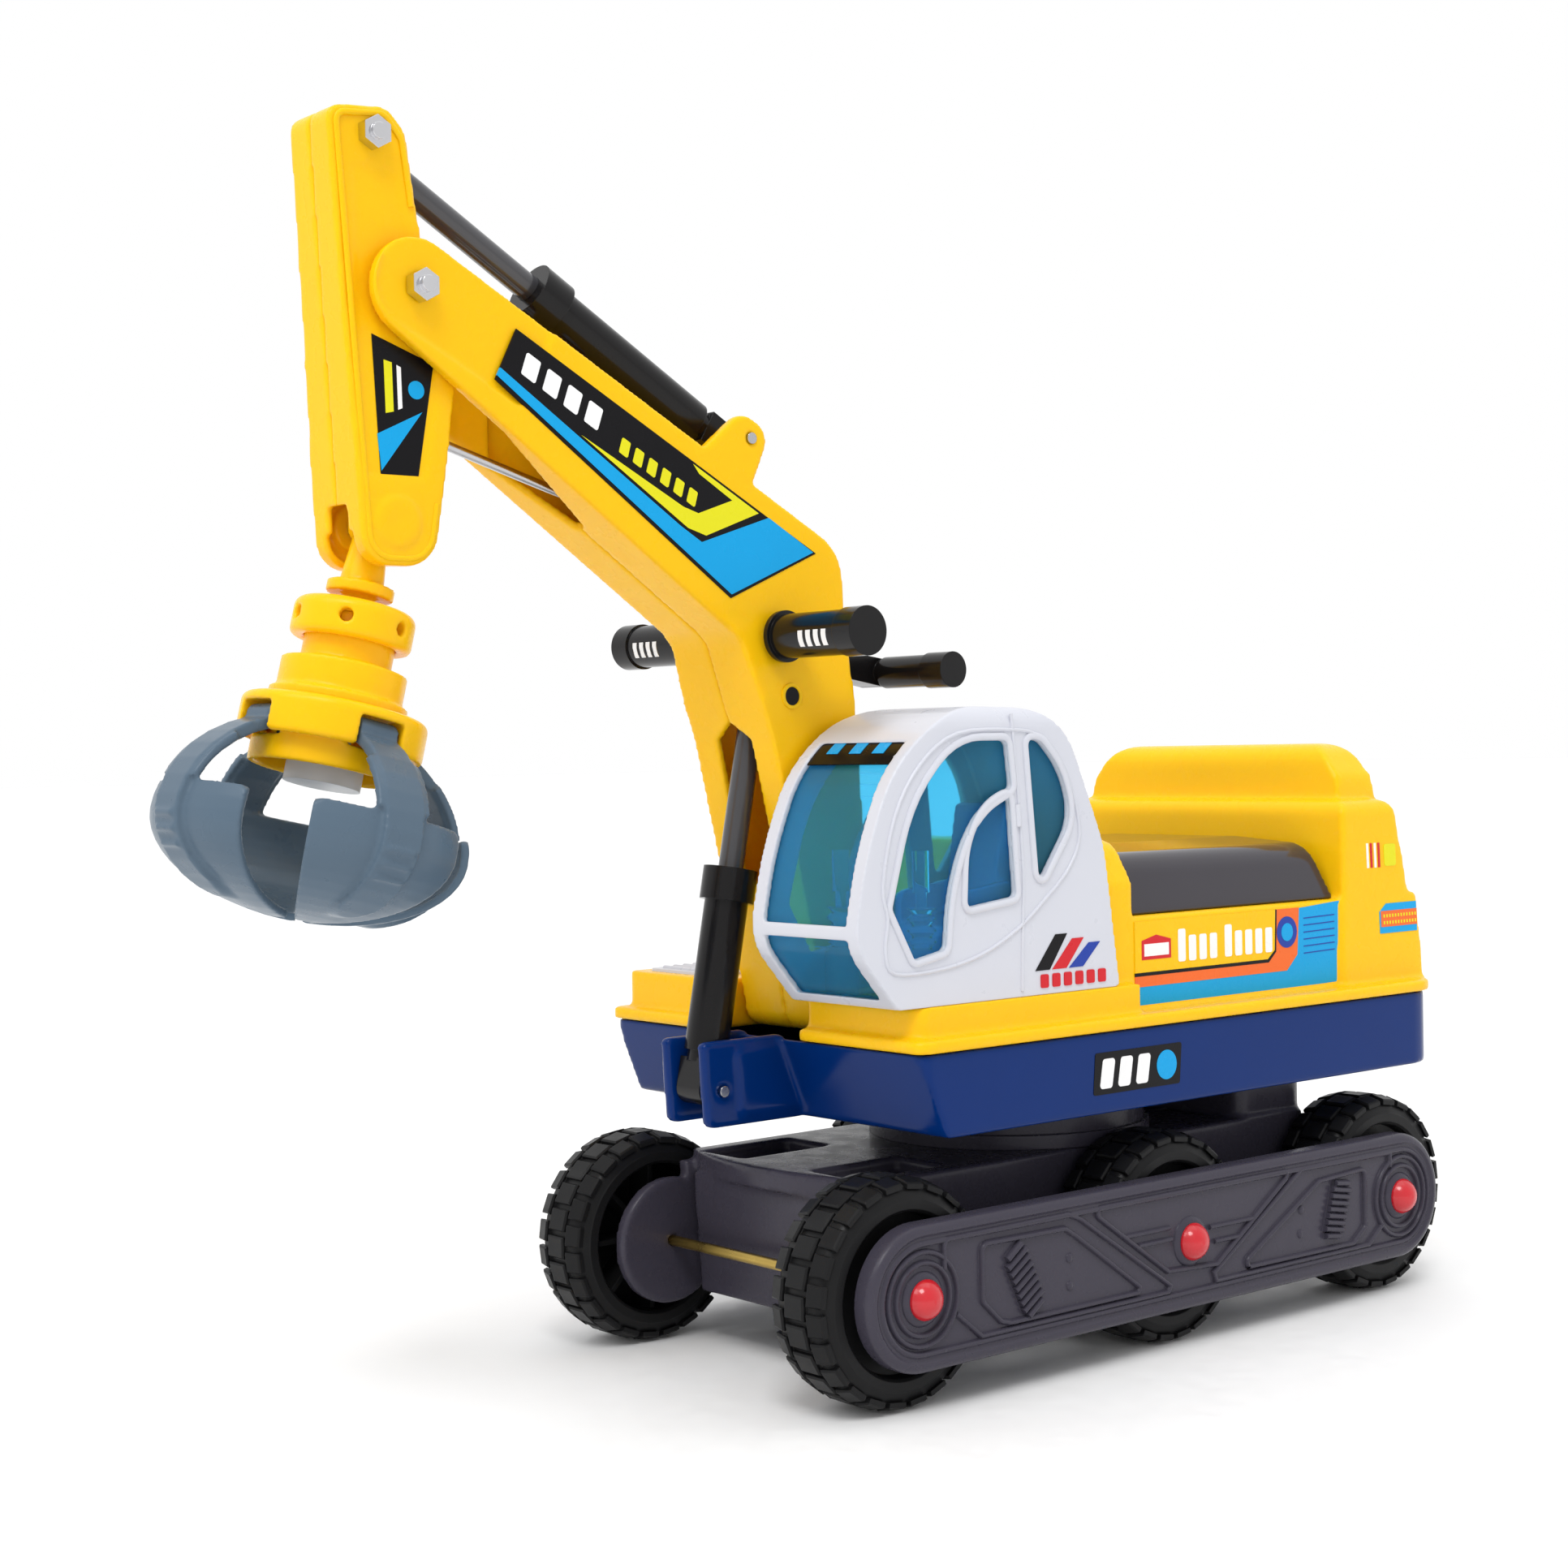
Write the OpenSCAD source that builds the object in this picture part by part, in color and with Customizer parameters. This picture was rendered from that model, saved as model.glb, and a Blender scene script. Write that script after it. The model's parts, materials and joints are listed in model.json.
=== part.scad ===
// Ride-on toy excavator with a four-claw grab.
// +Z is up, the toy faces -Y and its cab is on the +X side.
// The origin is on the ground, at the centre of the whole toy's footprint.

/* [Undercarriage] */
// Outer radius of each wheel
wheel_r = 60; // [50:1:70]
// Width of each wheel
wheel_w = 40; // [30:1:44]
// Distance from the toy's centre plane to the middle of a wheel
wheel_x = 105; // [103:1:112]
// Distance between the middle and the end axles
axle_pitch = 200; // [180:1:220]
// How far the middle axle sits behind the middle of the wheelbase
mid_axle_shift = 6; // [0:1:12]
// Radius of the wheel axles
axle_r = 3; // [2.5:0.5:4]
// Radius of the rounded ends of the side covers
cover_r = 38; // [32:1:44]
// Distance from the centre plane to the outer face of a side cover
cover_x = 138; // [136:1:145]
// Height of the top of the chassis deck
deck_z = 110; // [104:1:112]

/* [Upper body] */
// Half of the width of the tub
tub_half_w = 133; // [125:1:138]
// Height of the underside of the tub
tub_z = 138; // [138:1:142]
// Height of the rim of the tub
rim_z = 183; // [178:1:188]
// Wall thickness of the tub, the shell and the cab
skin = 3.5; // [3:0.5:4]
// Height of the side ledges that carry the seat
ledge_z = 243; // [235:1:250]
// Height of the top of the seat
seat_z = 281; // [275:1:290]

/* [Boom and stick] */
// Half of the width of the upper boom
boom_half_w = 30; // [29:1:33]
// Half of the width of the boom's column
column_half_w = 35; // [34:1:36]
// Half of the width of the stick at its top
stick_half_w = 20; // [19:0.5:21]
// Radius of the handlebar grips
grip_r = 13; // [11:0.5:15]
// Half of the span of the handlebar over its grips
bar_half_w = 104; // [90:1:120]

/* [Grab] */
// Lean of the hanging grab, bottom forward
grab_lean = 14; // [0:1:20]
// Turn of the grab head about its hanging axis
grab_turn = 3; // [-20:0.5:20]
// Largest radius of the closed grab
grab_r = 79; // [74:1:84]
// Width of the arm of each claw
claw_w = 21; // [18:1:22]

/* [Hidden] */
$fn = 96;

// Running clearance of a pin in its bore, and of the rods in their barrels
run = 0.08;
// Clearance between neighbouring moving bodies
gap = 0.4;
// Overlap that makes cuts pass right through
eps = 1;

// Position of the wheelbase centre, which puts the origin under the middle of the toy
base_y = 143;
axle_ys = [-axle_pitch, mid_axle_shift, axle_pitch];
wheel_in = wheel_x - wheel_w / 2;
wheel_out = wheel_x + wheel_w / 2;

// Pivot points in the side view, as [y, z] from the wheelbase centre
boom_foot = [-160, 197];
ram_foot = [-234, 158];
ram_head = [-192, 368];
bar_at = [-200, 401];
lever_at = [-172, 394];
lever_link = [-166, 430];
lug_at = [-215, 507];
tip_at = [-418.5, 566.3];
stick_top = [-437.5, 638.5];
rod_end = [-404, 500];
grab_at = [-429.5, 453];

yellow = "gold";
navy = "midnightblue";
charcoal = "dimgray";

// ---------- helpers ----------

function unit(v) = v / norm(v);
function next(p, i) = p[(i + 1) % len(p)];
function prev(p, i) = p[(i + len(p) - 1) % len(p)];
function xy(p) = [p[0], p[1]];
function left_of(d) = [-d[1], d[0]];

// Arc that rounds the corner c between the points a and b
function corner(a, c, b, r, steps) =
    let (u = unit(xy(a) - xy(c)), v = unit(xy(b) - xy(c)), half = acos(u * v) / 2,
        mid = xy(c) + unit(u + v) * r / sin(half), from = xy(c) + u * r / tan(half) - mid,
        turn = (u[0] * v[1] - u[1] * v[0] > 0 ? -1 : 1) * (180 - 2 * half), start = atan2(from[1], from[0]))
    [for (k = [0 : steps]) mid + r * [cos(start + turn * k / steps), sin(start + turn * k / steps)]];

// Outline whose points are [x, y, corner radius]
function rounded(p, steps = 6) =
    [for (i = [0 : len(p) - 1]) each (p[i][2] > 0 ? corner(prev(p, i), p[i], next(p, i), p[i][2], steps)
        : [xy(p[i])])];

// The same counter-clockwise outline, drawn in by t all round
function inset(p, t) =
    [for (i = [0 : len(p) - 1])
        let (d1 = unit(xy(p[i]) - xy(prev(p, i))), d2 = unit(xy(next(p, i)) - xy(p[i])),
            n1 = left_of(d1), n2 = left_of(d2), convex = d1[0] * d2[1] - d1[1] * d2[0] > 0,
            at = xy(p[i]) + (n1 + n2) / (1 + n1 * n2) * t)
        [at[0], at[1], convex ? max(p[i][2] - t, 0) : p[i][2] + t]];

// Moves a sub-part from the wheelbase centre to the origin's place
module on_base() translate([0, base_y, 0]) children();

// Extrudes a side view (y, z) from x0 to x1
module side_plate(x0, x1) translate([x0, 0, 0]) rotate([90, 0, 90]) linear_extrude(x1 - x0) children();

// Extrudes a front view (x, z) from y0 to y1
module front_plate(y0, y1) translate([0, y1, 0]) rotate([90, 0, 0]) linear_extrude(y1 - y0) children();

// Extrudes a plan (x, y) from z0 to z1
module plan_plate(z0, z1) translate([0, 0, z0]) linear_extrude(z1 - z0) children();

// Round bar along X through the side-view point p
module cross_bar(p, r, x0, x1) translate([x0, p[0], p[1]]) rotate([0, 90, 0]) cylinder(r = r, h = x1 - x0);

// Box given by its two corners
module block(a, b) translate(a) cube(b - a);

// Puts children, drawn with +Z along the axis, onto the line from a to b in the side view
module along(a, b) translate([0, a[0], a[1]]) rotate([-atan2(b[0] - a[0], b[1] - a[1]), 0, 0]) children();

// Hexagonal bolt head or nut along X
module hex_head(p, across, x0, x1)
    translate([x0, p[0], p[1]]) rotate([0, 90, 0]) cylinder(d = across / cos(30), h = x1 - x0, $fn = 6);

// ---------- undercarriage ----------

module stadium(r, x0, x1) side_plate(x0, x1)
    polygon(rounded([[-axle_pitch - r, wheel_r - r, r - 0.01], [axle_pitch + r, wheel_r - r, r - 0.01],
        [axle_pitch + r, wheel_r + r, r - 0.01], [-axle_pitch - r, wheel_r + r, r - 0.01]], 12));

plate_in = 72;
plate_out = 80;
frame_half_w = 66;
frame_z = 30;
lobe_r = 36;
deck_r = 196;
drum_r = 84;

module chassis_frame() color(charcoal) on_base() difference() {
    union() {
        // Closed central box with the axle tunnels
        difference() {
            side_plate(-frame_half_w, frame_half_w)
                polygon([[-186, frame_z], [186, frame_z], [190, deck_z - 14], [190, deck_z - 10],
                    [-190, deck_z - 10], [-190, deck_z - 22]]);
            for (side = [-1, 1]) for (y = [-80, 90])
                block([side * 34 - 24, y - 66, frame_z + skin], [side * 34 + 24, y + 66, deck_z - 14]);
        }
        // Deck with arched ends, centred on the slewing axis
        intersection() {
            plan_plate(deck_z - 12, deck_z) circle(deck_r);
            block([-plate_out, -deck_r, 0], [plate_out, deck_r, deck_z]);
        }
        // Rest under the rear of the tub
        plan_plate(deck_z - eps, tub_z - 6)
            polygon(rounded([[-78, 120, 8], [78, 120, 8], [78, 190, 20], [-78, 190, 20]]));
        // Side plates with a round lobe at each axle
        for (side = [0, 1]) mirror([side, 0, 0]) {
            for (y = axle_ys) cross_bar([y, wheel_r], lobe_r, plate_in, plate_out);
            side_plate(plate_in, plate_out)
                polygon([[-180, 34], [180, 34], [190, deck_z - 6], [-190, deck_z - 6]]);
        }
    }
    for (y = axle_ys) cross_bar([y, wheel_r], axle_r, -wheel_in, wheel_in);
    // Two pockets in the front deck
    for (side = [-1, 1])
        block([side * 48 - 18, -181, deck_z - 9], [side * 48 + 18, -119, deck_z + eps]);
    // Blind socket of the slewing bolt
    translate([0, 0, slew_foot]) cylinder(r = slew_r, h = deck_z);
}

slew_r = 8;
slew_foot = 80;

module turntable_drum() color(charcoal) on_base() translate([0, 0, deck_z]) rotate_extrude() difference() {
    translate([slew_r, 0]) square([drum_r - slew_r, tub_z - gap - deck_z]);
    // Hollow underneath, and a groove round the outside
    translate([22, -eps]) square([drum_r - 36, tub_z - deck_z - 5]);
    translate([drum_r - 3, 8]) square([4, 10]);
}

module slew_bolt() color("silver") on_base() {
    translate([0, 0, slew_foot]) cylinder(r = slew_r, h = tub_z + skin + 6 - slew_foot);
    translate([0, 0, tub_z + skin + gap]) cylinder(r = 16, h = 2);
    translate([0, 0, tub_z + skin + gap + 2]) cylinder(d = 24 / cos(30), h = 8, $fn = 6);
}

cover_in = wheel_out + 2;
cover_face = cover_x - 4;

module hub_rings(y, radii) for (r = radii)
    translate([cover_x - eps, y, wheel_r]) rotate([0, 90, 0]) difference() {
        cylinder(r = r, h = eps + 1.4);
        translate([0, 0, -eps]) cylinder(r = r - 1.6, h = 3 * eps + 1.4);
    }

// Low raised bar between two side-view points on the cover, with its height
bar_w = 2.4;
module relief_bar(a, b, high) translate([cover_x - eps, a[0], a[1]])
    rotate([atan2(b[1] - a[1], b[0] - a[0]), 0, 0]) translate([0, -bar_w / 2, -bar_w / 2])
        cube([eps + high, norm(b - a) + bar_w, bar_w]);

module side_cover() difference() {
    union() {
        difference() {
            stadium(cover_r, cover_in, cover_x);
            stadium(cover_r - skin, cover_in - eps, cover_face);
        }
        difference() {
            stadium(cover_r - 3, cover_x - eps, cover_x + 1.6);
            stadium(cover_r - 5, cover_x - 2 * eps, cover_x + 2 * eps);
        }
        for (y = axle_ys) cross_bar([y, wheel_r], 13, wheel_out + gap, cover_face + eps);
        hub_rings(axle_ys[0], [15, 22, 29]);
        hub_rings(axle_ys[1], [15]);
        hub_rings(axle_ys[2], [15, 22, 29]);
        // Moulded truss bars
        for (s = [-1, 1]) {
            relief_bar([s * 40, 84], [s * 155, 84], 1.1);
            relief_bar([s * 40, 36], [s * 155, 36], 1);
            relief_bar([s * 40, 84], [s * 100, 36], 0.8);
            relief_bar([s * 20 + mid_axle_shift, 76], [s * 84, 38], 0.6);
        }
    }
    for (y = axle_ys) cross_bar([y, wheel_r], axle_r, wheel_in, cover_x + 2 * eps);
}

module side_cover_right() color(charcoal) on_base() side_cover();
module side_cover_left() color(charcoal) on_base() mirror([1, 0, 0]) side_cover();

axle_half = cover_x + 3;
module axle(y) color("darkkhaki") on_base() cross_bar([y, wheel_r], axle_r, -axle_half, axle_half);
module axle_front() axle(axle_ys[0]);
module axle_mid() axle(axle_ys[1]);
module axle_rear() axle(axle_ys[2]);

cap_r = 10.5;
module hub_caps() color("firebrick") on_base()
    for (y = axle_ys) for (side = [0, 1]) mirror([side, 0, 0])
        translate([cover_x, y, wheel_r]) rotate([0, 90, 0]) rotate_extrude() difference() {
            intersection() {
                translate([0, -2]) circle(cap_r + 0.6);
                square([cap_r, cap_r]);
            }
            square([axle_r, axle_half - cover_x]);
        }

// One wheel about the Z axis, its open side towards -Z
module wheel_solid() {
    h = wheel_w / 2;
    rotate_extrude() {
        translate([axle_r + run, -h + 2]) square([8, wheel_w - 4]);
        translate([axle_r + 7, h - 12]) square([wheel_r - 22, 4]);
        polygon(rounded([[wheel_r - 17, -h, 2], [wheel_r - 5, -h, 3], [wheel_r, -h + 5, 3],
            [wheel_r, h - 5, 3], [wheel_r - 5, h, 3], [wheel_r - 17, h, 2]]));
    }
    for (a = [0 : 45 : 315])
        rotate(a) translate([axle_r + 7, -1.5, -h + 8]) cube([wheel_r - 22, 3, wheel_w - 18]);
}

module wheel(y, side) color("black") on_base()
    translate([side * wheel_x, y, wheel_r]) rotate([0, side * 90, 0]) wheel_solid();

module wheel_front_left() wheel(axle_ys[0], -1);
module wheel_front_right() wheel(axle_ys[0], 1);
module wheel_mid_left() wheel(axle_ys[1], -1);
module wheel_mid_right() wheel(axle_ys[1], 1);
module wheel_rear_left() wheel(axle_ys[2], -1);
module wheel_rear_right() wheel(axle_ys[2], 1);

// ---------- upper body ----------

tub_front = -195;
tub_rear = 249;
fork_in = 12.5;
fork_out = 19.5;
pin_r = 3;
foot_pin_r = 5;

// Plan of the upper body, with rounder corners at the rear
function deck_plan(half_w, front, rear) =
    [[-half_w, front, 8], [half_w, front, 8], [half_w, rear, 24], [-half_w, rear, 24]];

function tub_side() = [[-177, tub_z, 5], [tub_rear - 9, tub_z, 6], [tub_rear, tub_z + 9, 6],
    [tub_rear, rim_z, 0], [tub_front, rim_z, 0]];

module tub_form(t) intersection() {
    side_plate(-tub_half_w + t, tub_half_w - t) polygon(rounded(inset(tub_side(), t)));
    plan_plate(tub_z, rim_z + 2 * eps)
        polygon(rounded(inset(deck_plan(tub_half_w, tub_front, tub_rear), t)));
}

module tub() color(navy) on_base() difference() {
    union() {
        difference() {
            tub_form(0);
            tub_form(skin);
            // The inset form stops below the rim, so the mouth is cut on its own
            plan_plate(rim_z - skin - eps, rim_z + eps)
                polygon(rounded(inset(deck_plan(tub_half_w, tub_front, tub_rear), skin)));
        }
        // Fork that holds the foot of the boom ram
        for (side = [0, 1]) mirror([side, 0, 0]) {
            side_plate(fork_in, fork_out)
                polygon(rounded([[-244, tub_z + 0.5, 5], [-178, tub_z + 0.5, 0], [-192, rim_z + 2, 0],
                    [-247, rim_z + 2, 3]]));
            side_plate(fork_out - eps, fork_out + 2)
                polygon(rounded([[-222, tub_z + 6, 3], [-182, tub_z + 6, 0], [-190, rim_z - 4, 0],
                    [-224, rim_z - 4, 3]]));
        }
        // Bearing ring on the floor
        translate([0, 0, tub_z]) cylinder(r = 30, h = skin);
    }
    cylinder(r = slew_r + run, h = 400);
    cross_bar(ram_foot, pin_r, -fork_out - 3, fork_out + 3);
}

slot_half_w = 37.5;
slot_rear = -92;
deck_front = -190;
deck_rear = -20;

// Rear body in side view: lower block, shoulder and raked back
function back_side() = [[168, rim_z, 0], [250, rim_z, 0], [246, ledge_z, 4], [237, ledge_z + 2, 4],
    [226, 303, 12], [174, 303, 10]];
function hump_side() = [[188, 290, 0], [229, 290, 0], [224, 338, 13], [192, 338, 15]];
function hump_front() = [[-106, 290, 0], [106, 290, 0], [101, 318, 12], [84, 338, 22], [-84, 338, 22],
    [-101, 318, 12]];
function bulkhead_front() = [[-118, rim_z, 0], [118, rim_z, 0], [118, 262, 8], [104, 286, 16],
    [-104, 286, 16], [-118, 262, 8]];
function body_front() = [[-122, rim_z, 0], [122, rim_z, 0], [118, 303, 10], [-118, 303, 10]];

// Every block of the yellow shell, drawn in by t
module shell_form(t) {
    // Decks on the two sides of the boom slot
    plan_plate(rim_z - eps, 206 - t)
        polygon(rounded(inset([[slot_half_w, deck_front, 0], [126, deck_front, 8], [126, deck_rear, 0],
            [slot_half_w, deck_rear, 0]], t)));
    plan_plate(rim_z - eps, 211 - t)
        polygon(rounded(inset([[-127, deck_front, 8], [-slot_half_w, deck_front, 0],
            [-slot_half_w, deck_rear, 0], [-127, deck_rear, 0]], t)));
    block([-slot_half_w - eps, slot_rear + t, rim_z - eps], [slot_half_w + eps, deck_rear, 206 - t]);
    // Seat box
    block([-118 + t, -45 + t, rim_z - eps], [118 - t, 180 - t, ledge_z - t]);
    // Bulkhead behind the cab
    front_plate(-46 + t, -17 - t) polygon(rounded(inset(bulkhead_front(), t)));
    // Backrest
    intersection() {
        side_plate(-122 + t, 122 - t) polygon(rounded(inset(back_side(), t)));
        front_plate(150, 260) polygon(rounded(inset(body_front(), t)));
    }
    intersection() {
        side_plate(-108, 108) polygon(rounded(inset(hump_side(), t)));
        front_plate(150, 260) polygon(rounded(inset(hump_front(), t)));
    }
}

module body_shell() color(yellow) on_base() difference() {
    union() {
        difference() {
            union() {
                shell_form(0);
                plan_plate(rim_z, rim_z + 7)
                    polygon(rounded(deck_plan(tub_half_w + 2, tub_front - 2, tub_rear + 3)));
            }
            shell_form(skin);
            plan_plate(rim_z - 2 * eps, rim_z + skin)
                polygon(rounded(inset(deck_plan(tub_half_w, tub_front, tub_rear), 8)));
        }
        // Walls of the boom slot, which carry the foot pin
        for (side = [0, 1]) mirror([side, 0, 0])
            block([slot_half_w, deck_front + 4, rim_z], [slot_half_w + 5, slot_rear, 205]);
    }
    // Slot for the boom, open at the front
    block([-slot_half_w, -220, rim_z - 2 * eps], [slot_half_w, slot_rear, 230]);
    // Flat underside, level with the rim of the tub
    block([-140, -250, rim_z - 2 * eps], [140, 300, rim_z]);
    cross_bar(boom_foot, foot_pin_r, -50, 50);
    // Recess that the cab stands in
    cab_form(0);
}

module body_screws() color("silver") on_base()
    for (x = [-110, 110]) for (y = [-150, -70, 30, 130]) translate([x, y, tub_z - 3]) {
        cylinder(r = 4.5, h = 3);
        cylinder(r = 1.8, h = 12);
    }

function seat_front() = [[-113, ledge_z + 0.2, 0], [113, ledge_z + 0.2, 0], [103, seat_z - 4, 18],
    [50, seat_z, 40], [-50, seat_z, 40], [-103, seat_z - 4, 18]];
function seat_side() = [[-16.5, ledge_z, 0], [170.5, ledge_z, 0], [156, seat_z + 4, 12],
    [-16.5, seat_z + 4, 6]];

module seat_pad() color("darkslategray") on_base() intersection() {
    front_plate(-16.6, 173.5) polygon(rounded(seat_front(), 10));
    side_plate(-120, 120) polygon(rounded(seat_side()));
}

cab_left = 41;
cab_right = 125;
cab_z = 206;
function cab_side() = [[-203, cab_z, 3], [-36, cab_z, 2], [-47, 285, 90], [-80, 360, 45], [-160, 362, 75],
    [-203, 332, 80], [-223, 285, 200], [-232, 240, 30]];
function cab_front() = [[cab_left, cab_z - 10, 0], [cab_right, cab_z - 10, 0], [cab_right, 362, 12],
    [cab_left, 362, 12]];

module cab_form(t) intersection() {
    side_plate(cab_left + t, cab_right - t) polygon(rounded(inset(cab_side(), t)));
    front_plate(-260, 0) polygon(rounded(inset(cab_front(), t)));
}

function front_window() = [[-206, 258, 4], [-191, 231, 3], [-169, 235, 4], [-166, 262, 100],
    [-157, 288, 80], [-142, 308, 45], [-119, 318, 3], [-122, 343, 4], [-158, 343, 45], [-190, 312, 90]];
function door_window() = [[-153, 256, 3], [-117, 260, 3], [-121, 314, 3], [-138, 308, 35], [-151, 288, 44]];
function quarter_window() = [[-99, 265, 3], [-73, 300, 25], [-80, 326, 50], [-97, 343, 12], [-106, 343, 3]];

module cab_shell() color("lightgray") on_base() difference() {
    cab_form(0);
    cab_form(skin);
    // Open underside
    block([cab_left + skin, -194, cab_z - eps], [cab_right - skin, -42, cab_z + skin + eps]);
    // Windscreen and lower front window
    block([cab_left + 9, -260, 250], [cab_right - 9, -176, 343]);
    block([cab_left + 9, -260, 211], [cab_right - 9, -196, 243]);
    for (w = [front_window(), door_window(), quarter_window()])
        side_plate(cab_left - eps, cab_right + eps) polygon(rounded(w));
}

module cab_glazing() color("deepskyblue", 0.5) on_base() difference() {
    cab_form(skin + 0.1);
    cab_form(skin + 2);
    block([cab_left + 6, -192, cab_z - eps], [cab_right - 6, -44, cab_z + skin + 3]);
}

function cab_seat_side() = [[-150, cab_z, 0], [-96, cab_z, 0], [-88, 308, 5], [-102, 310, 5], [-112, 250, 4],
    [-148, 244, 6]];
function arm_rest_side() = [[-144, cab_z, 0], [-98, cab_z, 0], [-98, 268, 6], [-144, 262, 6]];

module cab_seat() color("royalblue") on_base() {
    side_plate(64, 102) polygon(rounded(cab_seat_side()));
    for (x = [59, 102]) side_plate(x, x + 5) polygon(rounded(arm_rest_side()));
}

module cab_levers() color("deepskyblue") on_base()
    for (p = [[60, -183], [106, -168]]) translate([p[0], p[1], cab_z]) rotate_extrude() {
        square([9, 26]);
        for (z = [26 : 6 : 44]) translate([0, z]) polygon([[0, 0], [8, 0], [5, 3], [8, 6], [0, 6]]);
        translate([0, 50]) square([3, 10]);
        translate([0, 58]) square([4.5, 22]);
    }

module fork_pin() color("silver") on_base()
    cross_bar(ram_foot, pin_r, -fork_out - 1.6, fork_out + 1.6);

module boom_pin() color("silver") on_base()
    cross_bar(boom_foot, foot_pin_r, -slot_half_w - 5, slot_half_w + 5);

// ---------- boom ----------

boom_wall = 4;
ear_in = 22.5;
notch_y = -366;
slit_tip = 3.5;

// Side view of the boom, from its round tip over the elbow to its foot
function boom_side() = [[-452, 558.5, 24.5], [-226, 400.5, 22], [-207, 345, 80], [-186, 255, 60],
    [-172, 184, 11.5], [-147, 184, 11.5], [-143, 290, 100], [-150, 400, 60], [-152, 449, 28],
    [-427.5, 598.5, 24.5]];
function boom_front(t) = [[-column_half_w + t, 170], [column_half_w - t, 170], [column_half_w - t, 368],
    [boom_half_w - t, 410], [boom_half_w - t, 620], [-boom_half_w + t, 620], [-boom_half_w + t, 410],
    [-column_half_w + t, 368]];

module boom_form(t) intersection() {
    side_plate(-column_half_w, column_half_w) polygon(rounded(inset(boom_side(), t), 8));
    front_plate(-480, -100) polygon(boom_front(t));
}

lug_r = 11;
bar_r = 8;
bolt_r = 4;

module boom_solid() difference() {
    union() {
        difference() {
            boom_form(0);
            boom_form(boom_wall);
        }
        // Thick ears at the tip
        intersection() {
            boom_form(0);
            block([-boom_half_w, -480, 480], [boom_half_w, -350, 620]);
        }
        // Lugs of the stick ram
        for (x = [-boom_half_w, boom_half_w - 7]) side_plate(x, x + 7)
            polygon(rounded([[lug_at[0] - 44, 490, 0], [lug_at[0] - 4, 472, 0], [lug_at[0] + 14, 511, lug_r],
                [lug_at[0] - 6, 521, lug_r]]));
        // Bosses around the pins that run inside
        for (p = [boom_foot, ram_head, bar_at, lever_at]) for (side = [0, 1]) mirror([side, 0, 0])
            cross_bar(p, 11, 16, boom_half_w - 1);
        for (side = [0, 1]) mirror([side, 0, 0]) cross_bar(boom_foot, 11, 16, column_half_w - 1);
    }
    // Mouth between the ears for the stick, and the tapered slit in the underside behind it
    block([-ear_in, -480, 440], [ear_in, notch_y, 640]);
    plan_plate(440, 540)
        polygon([[-ear_in, notch_y - eps], [-slit_tip, -306], [slit_tip, -306], [ear_in, notch_y - eps]]);
    // Top opening behind the mouth for the ram
    side_plate(-16, 16) polygon([[notch_y - eps, 540], [-340, 540], [-340, 620], [notch_y - eps, 620]]);
    // Front slot for the boom ram
    front_plate(-260, -185) polygon([[-15, 150], [15, 150], [15, 346], [0, 356], [-15, 346]]);
    // Rear slot for the control lever
    block([-11.5, -160, 346], [11.5, -120, 436]);
    cross_bar(boom_foot, foot_pin_r + run, -60, 60);
    cross_bar(ram_head, pin_r, -60, 60);
    cross_bar(bar_at, bar_r, -60, 60);
    cross_bar(lever_at, pin_r, -60, 60);
    cross_bar(lug_at, pin_r, -60, 60);
    cross_bar(tip_at, bolt_r, -60, 60);
    // Recessed panel in each side
    difference() {
        side_plate(-50, 50) polygon(rounded([[-450, 557, 22], [-384, 524, 6], [-362, 512, 3], [-340, 552, 3],
            [-428, 600, 22]]));
        block([-boom_half_w + 1.8, -500, 400], [boom_half_w - 1.8, -300, 700]);
    }
}

module half(side) intersection() {
    children();
    block([side > 0 ? 0 : -100, -600, 0], [side > 0 ? 100 : 0, 300, 800]);
}

module boom_right() color(yellow) on_base() half(1) boom_solid();
module boom_left() color(yellow) on_base() half(-1) boom_solid();

// Screws that hold the two halves of the boom together, from the far side
module boom_screws() color("silver") on_base()
    for (p = [[-296, 496], [-236, 462], [-172, 330], [-168, 240]])
    translate([p[1] > 400 ? -boom_half_w - 1 : -column_half_w - 1, p[0], p[1]]) rotate([0, 90, 0]) {
        cylinder(r = 4, h = 2.2);
        cylinder(r = 1.8, h = 14);
    }

grip_in = column_half_w + 1;
module handlebar() color("silver") on_base() cross_bar(bar_at, bar_r, -bar_half_w + 6, bar_half_w - 6);

module grip() translate([grip_in, bar_at[0], bar_at[1]]) rotate([0, 90, 0]) rotate_extrude() difference() {
    union() {
        square([grip_r - 1, bar_half_w - grip_in - 5]);
        square([grip_r + 1, 3]);
        translate([0, bar_half_w - grip_in - 14]) square([grip_r, 14]);
    }
    translate([0, -eps]) square([bar_r, bar_half_w - grip_in - 6 + eps]);
}
module grip_right() color("black") on_base() grip();
module grip_left() color("black") on_base() mirror([1, 0, 0]) grip();

module ram_pin() color("silver") on_base() cross_bar(ram_head, pin_r, -31, 31);
module lever_pin() color("silver") on_base() cross_bar(lever_at, pin_r, -29, 29);
module lug_pin() color("silver") on_base() cross_bar(lug_at, pin_r, -boom_half_w - 1, boom_half_w + 1);

module tip_bolt() color("silver") on_base() {
    cross_bar(tip_at, bolt_r, -boom_half_w - 8, boom_half_w + 9);
    hex_head(tip_at, 14, boom_half_w - 1, boom_half_w + 6);
    hex_head(tip_at, 14, -boom_half_w - 6, -boom_half_w + 1);
}

// ---------- control lever and push rod ----------

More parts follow.
